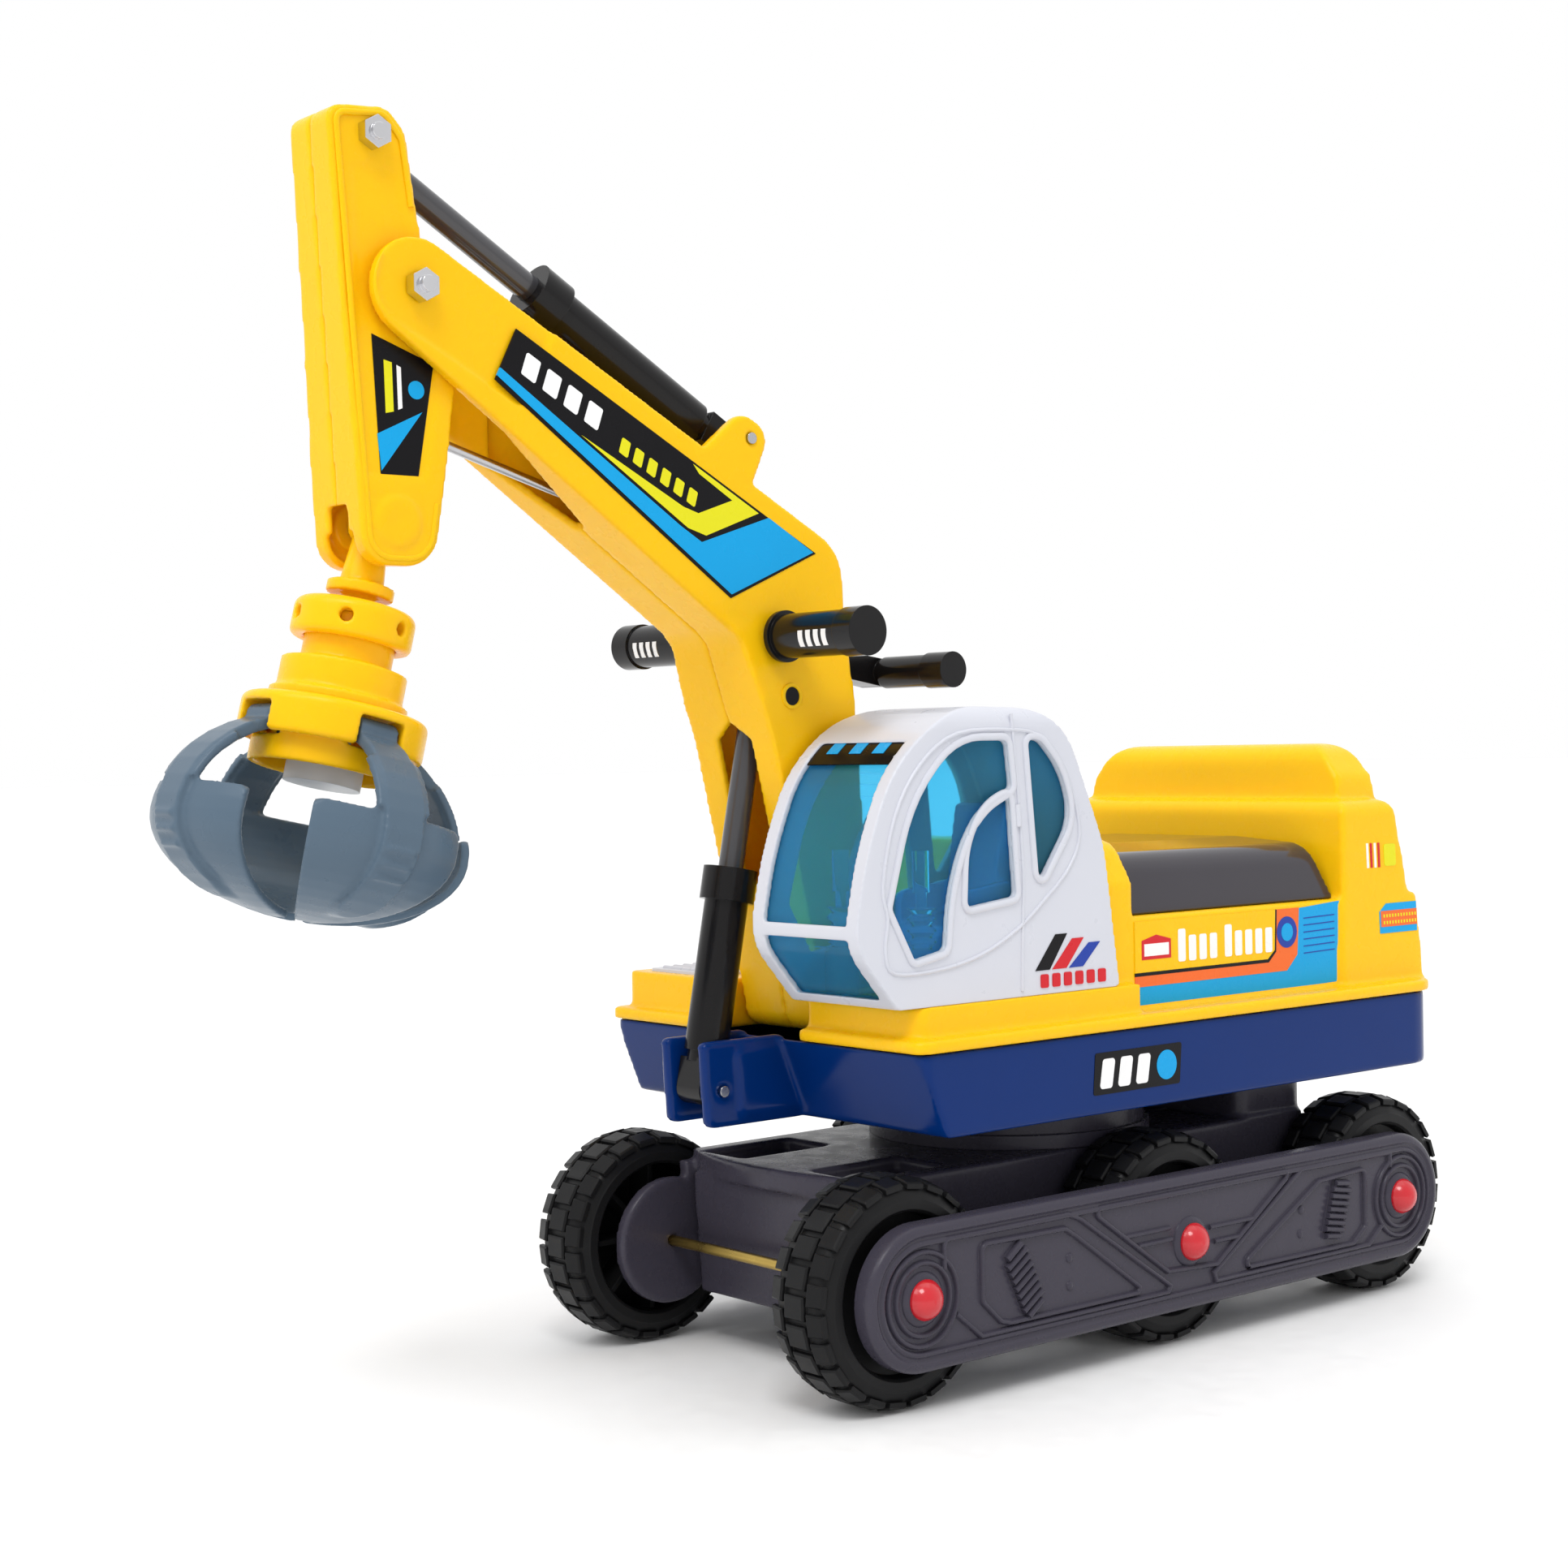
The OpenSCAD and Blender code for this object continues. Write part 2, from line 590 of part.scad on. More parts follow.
lever_end = [-103, 383];
module control_lever() color("black") on_base() difference() {
    union() {
        cross_bar(lever_at, 8, -9, 9);
        side_plate(-9, 9) polygon([[lever_at[0], lever_at[1] + 7], [lever_at[0], lever_at[1] - 7],
            [lever_end[0], lever_end[1] - 8], [lever_end[0], lever_end[1] + 8]]);
        cross_bar(lever_end, 8, -9, 12);
        // Link arm up to the push rod
        side_plate(3, 9) polygon([[lever_at[0] - 7, lever_at[1]], [lever_at[0] + 7, lever_at[1]],
            [lever_link[0] + 5, lever_link[1]], [lever_link[0] - 5, lever_link[1]]]);
        cross_bar(lever_link, 5.5, 3, 9);
        cross_bar(lever_link, 2.5, -4, 4);
    }
    cross_bar(lever_at, pin_r + run, -20, 20);
}

module lever_grip() color("black") on_base()
    translate([12, lever_end[0], lever_end[1]]) rotate([0, 90, 0]) rotate_extrude() {
        square([9, 40]);
        translate([0, 36]) square([10, 18]);
    }

module push_rod() color("silver") on_base() difference() {
    union() {
        along(lever_link, rod_end) cylinder(r = 2.5, h = norm(rod_end - lever_link) - 7);
        cross_bar(lever_link, 5, -2.5, 1.7);
        cross_bar(rod_end, 8.5, -2.5, 2.5);
    }
    cross_bar(lever_link, 2.5 + run, -10, 10);
    cross_bar(rod_end, 6, -10, 10);
}

// ---------- telescopic rams ----------

barrel_r = 12;
bore_r = 7;

// A barrel with its eye at the origin and its bore up +Z
module barrel(length, eye_half) difference() {
    union() {
        rotate([0, 90, 0]) cylinder(r = 9, h = 2 * eye_half, center = true);
        translate([-eye_half, -9, 0]) cube([2 * eye_half, 18, 16]);
        translate([0, 0, 14]) cylinder(r = barrel_r - 2, h = 8);
        translate([0, 0, 20]) cylinder(r = barrel_r, h = length - 20);
        translate([0, 0, length - 18]) cylinder(r = barrel_r + 3, h = 18);
    }
    rotate([0, 90, 0]) cylinder(r = pin_r + run, h = 60, center = true);
    translate([0, 0, 26]) cylinder(r = bore_r + run, h = length);
}

// A rod that starts inside the barrel and ends in an open eye at the far pivot
module ram_rod(start, length, eye_half, eye_bore) difference() {
    union() {
        translate([0, 0, start]) cylinder(r = bore_r, h = length - start - 8);
        translate([0, 0, length]) rotate([0, 90, 0])
            cylinder(r = eye_bore + 2, h = 2 * eye_half, center = true);
    }
    translate([0, 0, length]) rotate([0, 90, 0]) cylinder(r = eye_bore, h = 60, center = true);
}

boom_ram_l = norm(ram_head - ram_foot);
stick_ram_l = norm(stick_top - lug_at);

module boom_ram() on_base() along(ram_foot, ram_head) children();
module stick_ram() on_base() along(lug_at, stick_top) children();

module boom_ram_barrel() color("black") boom_ram() barrel(120, 10);
module boom_ram_rod() color("dimgray") boom_ram() ram_rod(60, boom_ram_l, 7, pin_r + 2);
module stick_ram_barrel() color("black") stick_ram() barrel(140, 10);
module stick_ram_rod() color("dimgray") stick_ram() ram_rod(75, stick_ram_l, 7, bolt_r + 2.5);

// ---------- stick ----------

stick_low_w = 23.5;
stick_wall = 3.5;
function stick_side() = [[-448, 432, 15], [-409, 432, 18], [-394, 522, 20], [-411, 592, 60],
    [-418, 642, 10], [-428, 653, 10], [-461, 650, 8]];
function stick_front(t) = [[-stick_low_w + t, 420], [stick_low_w - t, 420], [stick_low_w - t, 470],
    [stick_half_w - t, 560], [stick_half_w - 1 - t, 660], [-stick_half_w + 1 + t, 660],
    [-stick_half_w + t, 560], [-stick_low_w + t, 470]];

module stick_form(t) intersection() {
    side_plate(-stick_low_w, stick_low_w) polygon(rounded(inset(stick_side(), t), 8));
    front_plate(-480, -380) polygon(stick_front(t));
}

module stick_solid() difference() {
    union() {
        difference() {
            stick_form(0);
            stick_form(stick_wall);
            // Open back
            side_plate(-stick_half_w + stick_wall + 1, stick_half_w - stick_wall - 1)
                polygon([[-430, 400], [-380, 400], [-380, 670], [-428, 670], [-428, 600]]);
        }
        for (side = [0, 1]) mirror([side, 0, 0]) {
            cross_bar(tip_at, 12, 12, stick_half_w);
            cross_bar(stick_top, 11, 9, stick_half_w - 0.5);
            cross_bar(rod_end, 7, 8, stick_half_w);
            cross_bar(grab_at, 12, 16, stick_low_w + 1.5);
        }
    }
    cross_bar(tip_at, bolt_r + run, -60, 60);
    cross_bar(stick_top, bolt_r, -60, 60);
    cross_bar(rod_end, 2.5, -stick_half_w + 2, stick_half_w - 2);
    cross_bar(grab_at, bolt_r, -stick_low_w, stick_low_w);
    // Room for the yoke in the lower front, with its swing
    block([-13, -480, 410], [13, -428, 449]);
    // Teardrop slot in the lower front face
    block([-9, -480, 448], [9, -440, 462]);
    // Recessed panel in each side
    difference() {
        side_plate(-40, 40) polygon(rounded([[-447, 474, 3], [-413, 474, 3], [-403, 522, 8],
            [-417, 588, 20], [-424, 624, 3], [-449, 624, 3]]));
        front_plate(-500, -300) polygon(stick_front(1));
    }
}

module stick_right() color(yellow) on_base() half(1) stick_solid();
module stick_left() color(yellow) on_base() half(-1) stick_solid();

module top_bolt() color("silver") on_base() {
    cross_bar(stick_top, bolt_r, -stick_half_w - 7, stick_half_w + 8);
    hex_head(stick_top, 14, stick_half_w - 0.5, stick_half_w + 6);
    hex_head(stick_top, 14, -stick_half_w - 6, -stick_half_w + 0.5);
}
module rod_pin() color("silver") on_base() cross_bar(rod_end, 2.5, -stick_half_w + 2, stick_half_w - 2);
module grab_pin() color("silver") on_base() cross_bar(grab_at, bolt_r, -stick_low_w, stick_low_w);

// ---------- grab ----------

// Places children, drawn hanging down -Z from the grab pin, at the grab's lean
module hang() on_base() translate([0, grab_at[0], grab_at[1]]) rotate([-grab_lean, 0, 0]) children();

// The same for the head, which also turns about the hanging axis
module head() hang() rotate(grab_turn) children();

// Distances down the grab's axis from the grab pin
flange_s = 31;
flange_end_s = 36;
collar_s = 41;
neck_s = 60;
drum_s = 70;
step_s = 86;
cap_s = 92;
lip_s = 112;
cap_end_s = 124;
plunger_s = 130;
tip_s = 199;
claw_pivot_s = 104;
claw_pivot_r = 36;
claw_pin_r = 2;
stem_r = 8;
collar_r = 29.5;
neck_r = 22;
drum_r_out = 30.5;
step_r = 33.6;
cap_r_out = 45;
lip_r = 37;

module grab_yoke() color(yellow) hang() difference() {
    union() {
        rotate([0, 90, 0]) cylinder(r = 10, h = 16, center = true);
        translate([0, 0, -flange_s]) cylinder(r1 = 11, r2 = 7.9, h = flange_s);
        translate([0, 0, -flange_end_s]) cylinder(r = 16.4, h = flange_end_s - flange_s + 1);
        translate([0, 0, -drum_s - 8]) cylinder(r = stem_r, h = drum_s + 8 - flange_s);
    }
    rotate([0, 90, 0]) cylinder(r = bolt_r + run, h = 60, center = true);
    translate([0, 0, -drum_s - 9]) cylinder(r = 2, h = 14);
}

// Screw and washer that keep the housing on the yoke's stem
module yoke_retainer() color("silver") hang() {
    translate([0, 0, -drum_s - 10.5]) cylinder(r = 13, h = 2.5);
    translate([0, 0, -drum_s - 13]) cylinder(r = 4, h = 3);
    translate([0, 0, -drum_s - 9]) cylinder(r = 2, h = 14);
}

module lock_collar() color(yellow) head() difference() {
    rotate_extrude() polygon(rounded([[neck_r + 0.1, -neck_s, 1], [collar_r, -neck_s, 3],
        [collar_r, -collar_s, 5], [17, -collar_s, 1], [17, -collar_s - 5, 1],
        [neck_r + 0.1, -collar_s - 5, 0]]));
    for (a = [0 : 60 : 300]) rotate(a + 20) translate([18, 0, -(collar_s + neck_s) / 2])
        rotate([0, 90, 0]) cylinder(r = 3.4, h = 30);
}

module grab_housing() color(yellow) head() rotate_extrude() difference() {
    polygon([[stem_r + run, -collar_s - 6], [neck_r, -collar_s - 6], [neck_r, -drum_s - 0.5],
        [drum_r_out, -drum_s - 1.5], [drum_r_out, -step_s], [step_r, -step_s - 1],
        [step_r, -cap_s + 0.05], [stem_r + run, -cap_s + 0.05]]);
    // Hollow for the retainer and the plunger
    translate([0, -cap_s - eps]) square([drum_r_out - 4, cap_s + eps - drum_s - 7]);
}

module grab_cap() color(yellow) head() {
    claw_cheeks();
    cap_ring();
}

module cap_ring() difference() {
    rotate_extrude() {
        // Web that guides the plunger
        polygon([[10 + run, -cap_s - 5], [40, -cap_s - 5], [40, -cap_s - 1], [10 + run, -cap_s - 1]]);
        polygon(rounded([[cap_r_out - 4, -lip_s, 0], [cap_r_out, -lip_s, 2], [cap_r_out, -cap_s, 4],
            [step_r - 5, -cap_s, 1], [step_r - 5, -cap_s - 3.5, 0], [cap_r_out - 4, -cap_s - 3.5, 0]]));
        polygon(rounded([[lip_r - 3.5, -cap_end_s, 1], [lip_r, -cap_end_s, 1], [lip_r, -lip_s + 2, 0],
            [cap_r_out - 2, -lip_s + 2, 0], [cap_r_out - 2, -lip_s + 5, 0], [lip_r - 3.5, -lip_s + 5, 0]]));
    }
    // Four cut-outs for the claws
    for (a = [0 : 90 : 270]) rotate(a)
        block([-claw_w / 2 - 1.5, 25, -lip_s - 0.2], [claw_w / 2 + 1.5, 70, -cap_s - 5.5]);
}

// Cheeks that carry the claw pins, between the cap's web and its lip
module claw_cheeks() for (a = [0 : 90 : 270]) rotate(a) for (side = [0, 1]) mirror([side, 0, 0])
    difference() {
        block([claw_w / 2 + 1.5, claw_pivot_r - 7, -lip_s + 1],
            [claw_w / 2 + 4.5, claw_pivot_r + 5, -cap_s - 4]);
        claw_pin(claw_pin_r, 60);
    }

// Bar along a claw's pivot, for a claw that points out along +Y
module claw_pin(r, length) cross_bar([claw_pivot_r, -claw_pivot_s], r, -length / 2, length / 2);

module claw_pins() color("silver") head()
    for (a = [0 : 90 : 270]) rotate(a) claw_pin(claw_pin_r, claw_w + 9);

// Plunger that opens and closes the claws, sliding up the inside of the cap
module grab_plunger() color("whitesmoke") head() translate([0, 0, -plunger_s]) {
    cylinder(r = 18.7, h = 9);
    cylinder(r = 10, h = 36);
}

claw_t = 4;
claw_mid_s = 155;
claw_rise = 58;
petal_half = 33;
petal_w = 43.5;
petal_top = -141.5;
rib_end_s = 192;

// Meridian of the claw: an arc from beside the cap, out to the widest point and in to the bottom tip
function claw_half(a) = a > 0 ? claw_rise : tip_s - claw_mid_s;
function claw_pt(a, t) = [(grab_r - t) * cos(a), -claw_mid_s + (claw_half(a) - t) * sin(a)];
function band(a0, a1, t0, t1, n = 14) = concat(
    [for (k = [0 : n]) claw_pt(a0 + (a1 - a0) * k / n, t0)],
    [for (k = [n : -1 : 0]) claw_pt(a0 + (a1 - a0) * k / n, t1)]);

// One claw, pointing out along +Y, in the hanging frame
module claw_solid() difference() {
    intersection() {
        claw_body();
        // Quarter of the plan, so that the four claws never touch
        plan_plate(-220, 0) polygon([[0, 0.7], [200, 200.7], [-200, 200.7]]);
    }
    claw_pin(claw_pin_r + run, 60);
}

module claw_body() {
    // Curved rib from the pivot down the petal, with a rounded lower end
    intersection() {
        side_plate(-claw_w / 2, claw_w / 2) polygon(band(60, -70, 0, 6));
        front_plate(0, 100) polygon(rounded([[-claw_w / 2 - eps, -rib_end_s, 10],
            [claw_w / 2 + eps, -rib_end_s, 10], [claw_w / 2 + eps, -80, 0], [-claw_w / 2 - eps, -80, 0]]));
    }
    // Shoulders beside the rib, below the cap
    side_plate(-claw_w / 2 - 3.5, claw_w / 2 + 3.5) polygon(band(42, 14, 1, 5));
    // Knuckle at the pivot
    claw_pin(6, claw_w);
    // Wide petal with rounded upper corners
    intersection() {
        rotate(90 - petal_half) rotate_extrude(angle = 2 * petal_half)
            polygon(band(13, -84, 3, 3 + claw_t));
        front_plate(0, 100) polygon(rounded([[-petal_w, -tip_s - eps, 0], [petal_w, -tip_s - eps, 0],
            [petal_w, petal_top, 12], [-petal_w, petal_top, 12]]));
    }
    // Three raised bars on the rib
    for (a = [-6, -15, -24]) cross_bar(claw_pt(a, 0.2), 1.6, -7.5, 7.5);
}

module claw(turn) color("slategray") head() rotate(turn) claw_solid();
module claw_front() claw(180);
module claw_right() claw(270);
module claw_rear() claw(0);
module claw_left() claw(90);

chassis_frame();
turntable_drum();
slew_bolt();
side_cover_left();
side_cover_right();
axle_front();
axle_mid();
axle_rear();
hub_caps();
wheel_front_left();
wheel_front_right();
wheel_mid_left();
wheel_mid_right();
wheel_rear_left();
wheel_rear_right();
tub();
body_shell();
body_screws();
seat_pad();
cab_shell();
cab_glazing();
cab_seat();
cab_levers();
fork_pin();
boom_pin();
boom_left();
boom_right();
boom_screws();
handlebar();
grip_left();
grip_right();
ram_pin();
lug_pin();
tip_bolt();
lever_pin();
control_lever();
lever_grip();
push_rod();
boom_ram_barrel();
boom_ram_rod();
stick_ram_barrel();
stick_ram_rod();
stick_left();
stick_right();
top_bolt();
rod_pin();
grab_pin();
grab_yoke();
yoke_retainer();
lock_collar();
grab_housing();
grab_cap();
claw_pins();
grab_plunger();
claw_front();
claw_right();
claw_rear();
claw_left();
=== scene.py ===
"""Looks of a ride-on toy excavator with a four-claw grab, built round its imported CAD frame."""

import json
import math

import bmesh
import bpy
from mathutils import Matrix, Vector


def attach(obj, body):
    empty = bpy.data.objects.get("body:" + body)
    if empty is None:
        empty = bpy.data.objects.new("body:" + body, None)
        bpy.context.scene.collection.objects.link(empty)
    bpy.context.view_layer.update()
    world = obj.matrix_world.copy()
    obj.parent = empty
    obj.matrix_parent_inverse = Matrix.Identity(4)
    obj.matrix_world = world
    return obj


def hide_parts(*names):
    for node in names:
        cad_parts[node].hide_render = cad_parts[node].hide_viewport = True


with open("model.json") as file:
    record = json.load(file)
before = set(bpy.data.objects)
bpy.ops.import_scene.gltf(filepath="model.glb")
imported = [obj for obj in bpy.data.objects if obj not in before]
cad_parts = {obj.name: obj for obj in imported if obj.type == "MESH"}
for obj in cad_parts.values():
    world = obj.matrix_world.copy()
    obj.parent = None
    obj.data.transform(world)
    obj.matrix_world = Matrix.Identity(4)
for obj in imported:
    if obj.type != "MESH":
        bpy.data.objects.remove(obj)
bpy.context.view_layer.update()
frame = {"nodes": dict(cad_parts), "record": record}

MM = 0.001
BASE_Y = 143.0  # the outlines below are measured from the wheelbase centre
AXLE_YS = (-200.0, 6.0, 200.0)
AXLE_Z = 60.0
BAR_AT = (-200.0, 401.0)


# ---------- geometry helpers ----------


def at(x, y, z):
    """Point in metres of a place in millimetres from the wheelbase centre."""
    return Vector((x, y + BASE_Y, z)) * MM


def rounded(points, steps=5):
    """Closed outline whose points are (a, b, corner radius), with its corners drawn as arcs."""
    out = []
    count = len(points)
    for i, (a, b, radius) in enumerate(points):
        here = Vector((a, b))
        if radius <= 0:
            out.append(here)
            continue
        before = (Vector(points[i - 1][:2]) - here).normalized()
        after = (Vector(points[(i + 1) % count][:2]) - here).normalized()
        half = before.angle(after) / 2
        middle = here + (before + after).normalized() * radius / math.sin(half)
        start = here + before * radius / math.tan(half) - middle
        turn = math.pi - 2 * half
        if before.x * after.y - before.y * after.x > 0:
            turn = -turn
        for k in range(steps + 1):
            spin = Matrix.Rotation(turn * k / steps, 2)
            out.append(middle + spin @ start)
    return out


def side_points(outline, x):
    """Side-view outline (y, z) put on the plane at x."""
    return [at(x, p[0], p[1]) for p in outline]


class Shape:
    """Collects vertices and faces, then makes one piece of them."""

    def __init__(self):
        self.verts = []
        self.faces = []

    def add(self, verts, faces):
        base = len(self.verts)
        self.verts += [Vector(v) for v in verts]
        self.faces += [tuple(base + i for i in f) for f in faces]

    def loft(self, rings, closed=False, caps=True):
        """Skins rings that have equal numbers of points."""
        n = len(rings[0])
        verts = [p for ring in rings for p in ring]
        faces = []
        pairs = len(rings) if closed else len(rings) - 1
        for r in range(pairs):
            a, b = r * n, ((r + 1) % len(rings)) * n
            faces += [(a + i, a + (i + 1) % n, b + (i + 1) % n, b + i) for i in range(n)]
        if caps and not closed:
            faces.append(tuple(range(n)))
            faces.append(tuple(range((len(rings) - 1) * n, len(rings) * n)))
        self.add(verts, faces)

    def ridge(self, points, normal, width, height, closed=False):
        """Moulded bead of half-round section along points that lie on a plane with this normal."""
        normal = Vector(normal).normalized()
        count = len(points)
        rings = []
        for i, p in enumerate(points):
            before = points[i - 1] if closed or i > 0 else None
            after = points[(i + 1) % count] if closed or i < count - 1 else None
            t0 = (p - before).normalized() if before is not None else (after - p).normalized()
            t1 = (after - p).normalized() if after is not None else t0
            s0, s1 = normal.cross(t0), normal.cross(t1)
            side = (s0 + s1).normalized()
            side = side / max(side.dot(s0), 0.6)
            rings.append([p + side * width * MM / 2 * math.cos(a) + normal * height * MM * math.sin(a)
                          for a in (math.radians(d) for d in RIDGE_ANGLES)])
        self.loft(rings, closed)

    def prism(self, outline, normal, height, edge=0.0):
        """Flat plate on an outline of points in space, raised by height with a slanted edge."""
        normal = Vector(normal).normalized()
        middle = sum(outline, Vector()) / len(outline)
        low = [p - normal * SINK * MM for p in outline]
        high = [p + normal * height * MM + (middle - p).normalized() * edge * MM for p in outline]
        self.loft([low, high])

    def tube_ring(self, centre, axis, profile, count):
        """Closed revolved body: profile points are (radius, distance along the axis) in mm."""
        axis = Vector(axis).normalized()
        u = axis.orthogonal().normalized()
        v = axis.cross(u)
        rings = []
        for k in range(count):
            a = 2 * math.pi * k / count
            out = u * math.cos(a) + v * math.sin(a)
            rings.append([centre + (out * r + axis * h) * MM for r, h in profile])
        self.loft(rings, closed=True, caps=False)

    def piece(self, name, material, body, slot, replaces=(), bevel=0.0):
        mesh = bpy.data.meshes.new(name)
        mesh.from_pydata(self.verts, [], self.faces)
        tidy = bmesh.new()
        tidy.from_mesh(mesh)
        bmesh.ops.recalc_face_normals(tidy, faces=tidy.faces)
        tidy.to_mesh(mesh)
        tidy.free()
        obj = bpy.data.objects.new(name, mesh)
        bpy.context.scene.collection.objects.link(obj)
        mesh.materials.append(material)
        shade(obj)
        if bevel:
            add_bevel(obj, bevel)
        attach(obj, body)
        if replaces:
            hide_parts(*replaces)
        return obj


RIDGE_ANGLES = (-25, 0, 30, 60, 90, 120, 150, 180, 205)
SINK = 0.6  # how deep plates reach into the surface below them


def shade(obj, degrees=32):
    obj.data.shade_smooth()
    obj.data.set_sharp_from_angle(angle=math.radians(degrees))


def add_bevel(obj, width, segments=2):
    bevel = obj.modifiers.new("soft_edges", "BEVEL")
    bevel.width = width * MM
    bevel.segments = segments
    bevel.limit_method = "ANGLE"
    bevel.angle_limit = math.radians(35)


def soften(node, voxel, rounds):
    """Rounds a CAD node's edges as a moulding's are, with modifiers only."""
    obj = frame["nodes"][node]
    obj.data.shade_smooth()
    remesh = obj.modifiers.new("skin", "REMESH")
    remesh.mode = "VOXEL"
    remesh.voxel_size = voxel * MM
    remesh.use_smooth_shade = True
    smooth = obj.modifiers.new("moulded", "SMOOTH")
    smooth.factor = 0.5
    smooth.iterations = rounds


# ---------- materials ----------


def srgb(r, g, b):
    def linear(c):
        c = c / 255
        return c / 12.92 if c <= 0.04045 else ((c + 0.055) / 1.055) ** 2.4

    return (linear(r), linear(g), linear(b), 1.0)


def shaded(colour, share):
    return tuple(min(1.0, c * share) for c in colour[:3]) + (1.0,)


def noise(tree, scale, detail):
    coords = tree.nodes.new("ShaderNodeTexCoord")
    node = tree.nodes.new("ShaderNodeTexNoise")
    node.inputs["Scale"].default_value = scale
    node.inputs["Detail"].default_value = detail
    tree.links.new(coords.outputs["Object"], node.inputs["Vector"])
    return node.outputs["Fac"]


def mapped(tree, value, low, high):
    node = tree.nodes.new("ShaderNodeMapRange")
    node.inputs["From Min"].default_value = 0.3
    node.inputs["From Max"].default_value = 0.7
    node.inputs["To Min"].default_value = low
    node.inputs["To Max"].default_value = high
    tree.links.new(value, node.inputs["Value"])
    return node.outputs["Result"]


def surface(name, colour, rough, mottle=0.06, grain=0.03, grain_scale=1400, edge=0.7, **sockets):
    """Moulded or metal surface: mottled colour, uneven gloss, fine grain and softened edges."""
    mat = bpy.data.materials.new(name)
    mat.use_nodes = True
    tree = mat.node_tree
    bsdf = tree.nodes["Principled BSDF"]
    mix = tree.nodes.new("ShaderNodeMix")
    mix.data_type = "RGBA"
    mix.inputs["A"].default_value = shaded(colour, 1 - mottle)
    mix.inputs["B"].default_value = shaded(colour, 1 + mottle)
    tree.links.new(noise(tree, 22, 4), mix.inputs["Factor"])
    tree.links.new(mix.outputs["Result"], bsdf.inputs["Base Color"])
    gloss = mapped(tree, noise(tree, 75, 3), rough * 0.82, min(1.0, rough * 1.2))
    tree.links.new(gloss, bsdf.inputs["Roughness"])
    bump = tree.nodes.new("ShaderNodeBump")
    bump.inputs["Strength"].default_value = grain
    bump.inputs["Distance"].default_value = 0.0004
    tree.links.new(noise(tree, grain_scale, 2), bump.inputs["Height"])
    if edge:
        soft = tree.nodes.new("ShaderNodeBevel")
        soft.samples = 4
        soft.inputs["Radius"].default_value = edge * MM
        tree.links.new(soft.outputs["Normal"], bump.inputs["Normal"])
    tree.links.new(bump.outputs["Normal"], bsdf.inputs["Normal"])
    for key, value in sockets.items():
        bsdf.inputs[SOCKETS[key]].default_value = value
    return mat


SOCKETS = {
    "metallic": "Metallic",
    "coat": "Coat Weight",
    "transmission": "Transmission Weight",
    "ior": "IOR",
    "subsurface": "Subsurface Weight",
    "scatter": "Subsurface Scale",
    "scatter_radius": "Subsurface Radius",
    "alpha": "Alpha",
    "specular": "Specular IOR Level",
}


def make_materials():
    glow = {"subsurface": 0.18, "scatter": 0.006, "scatter_radius": (1.0, 0.35, 0.05)}
    return {
        "yellow": surface("yellow_plastic", srgb(250, 193, 12), 0.27, 0.03, specular=0.17, **glow),
        "navy": surface("navy_plastic", srgb(2, 42, 106), 0.15, 0.06, specular=0.15),
        "charcoal": surface("charcoal_plastic", srgb(62, 59, 70), 0.27, 0.06, grain=0.06, specular=0.2),
        "black": surface("black_plastic", srgb(20, 19, 20), 0.18, 0.1, specular=0.25),
        "tyre": surface("tyre_plastic", srgb(24, 24, 25), 0.38, 0.12, grain=0.1, specular=0.15),
        "red": surface("cap_plastic", srgb(200, 26, 38), 0.22, 0.05, coat=0.3),
        "cab": surface("cab_plastic", srgb(205, 207, 216), 0.32, 0.02, coat=0.1),
        "clear": surface("clear_blue", srgb(136, 226, 253), 0.06, 0.03, transmission=0.92, ior=1.12, edge=0),
        "seat_blue": surface("seat_blue", srgb(16, 120, 200), 0.2, 0.05, coat=0.3),
        "seat": surface("seat_plastic", srgb(52, 49, 56), 0.08, 0.05, specular=0.45),
        "slate": surface("claw_plastic", srgb(84, 102, 118), 0.3, 0.04, grain=0.06, specular=0.2),
        "white": surface("white_plastic", srgb(214, 216, 218), 0.35, 0.02),
        "steel": surface("steel", srgb(190, 190, 192), 0.22, 0.05, metallic=1.0),
        "chrome": surface("chrome", srgb(215, 215, 218), 0.12, 0.05, metallic=1.0),
        "zinc": surface("yellow_zinc", srgb(186, 158, 84), 0.3, 0.2, metallic=1.0),
        "rod": surface("rod_plastic", srgb(60, 60, 64), 0.18, 0.06, coat=0.4),
        # this black is printed film, and also painted shade inside the boom's screw holes
        "ink_and_shade_black": surface("print_and_painted_shade_black", srgb(16, 15, 18), 0.25, 0.05, edge=0, specular=0.15),
        "ink_cyan": surface("print_cyan", srgb(18, 160, 222), 0.28, 0.04, edge=0, specular=0.15),
        "ink_lime": surface("print_lime", srgb(226, 220, 32), 0.28, 0.04, edge=0, specular=0.15),
        "ink_orange": surface("print_orange", srgb(236, 110, 48), 0.28, 0.04, edge=0, specular=0.15),
        "ink_white": surface("print_white", srgb(240, 240, 240), 0.3, 0.02, edge=0),
        "ink_red": surface("print_red", srgb(206, 40, 48), 0.3, 0.03, edge=0, specular=0.15),
        "ink_blue": surface("print_blue", srgb(40, 66, 160), 0.3, 0.03, edge=0, specular=0.15),
    }


MAT = make_materials()

SLOT_MATERIALS = {
    "yellow": "yellow", "navy": "navy", "charcoal": "charcoal", "black": "black", "wheel_black": "tyre",
    "cap_red": "red", "cab_grey": "cab", "clear_blue": "clear", "blue": "seat_blue", "seat_dark": "seat",
    "slate": "slate", "white": "white", "steel": "steel", "nut": "chrome", "zinc": "zinc", "rod_grey": "rod",
}


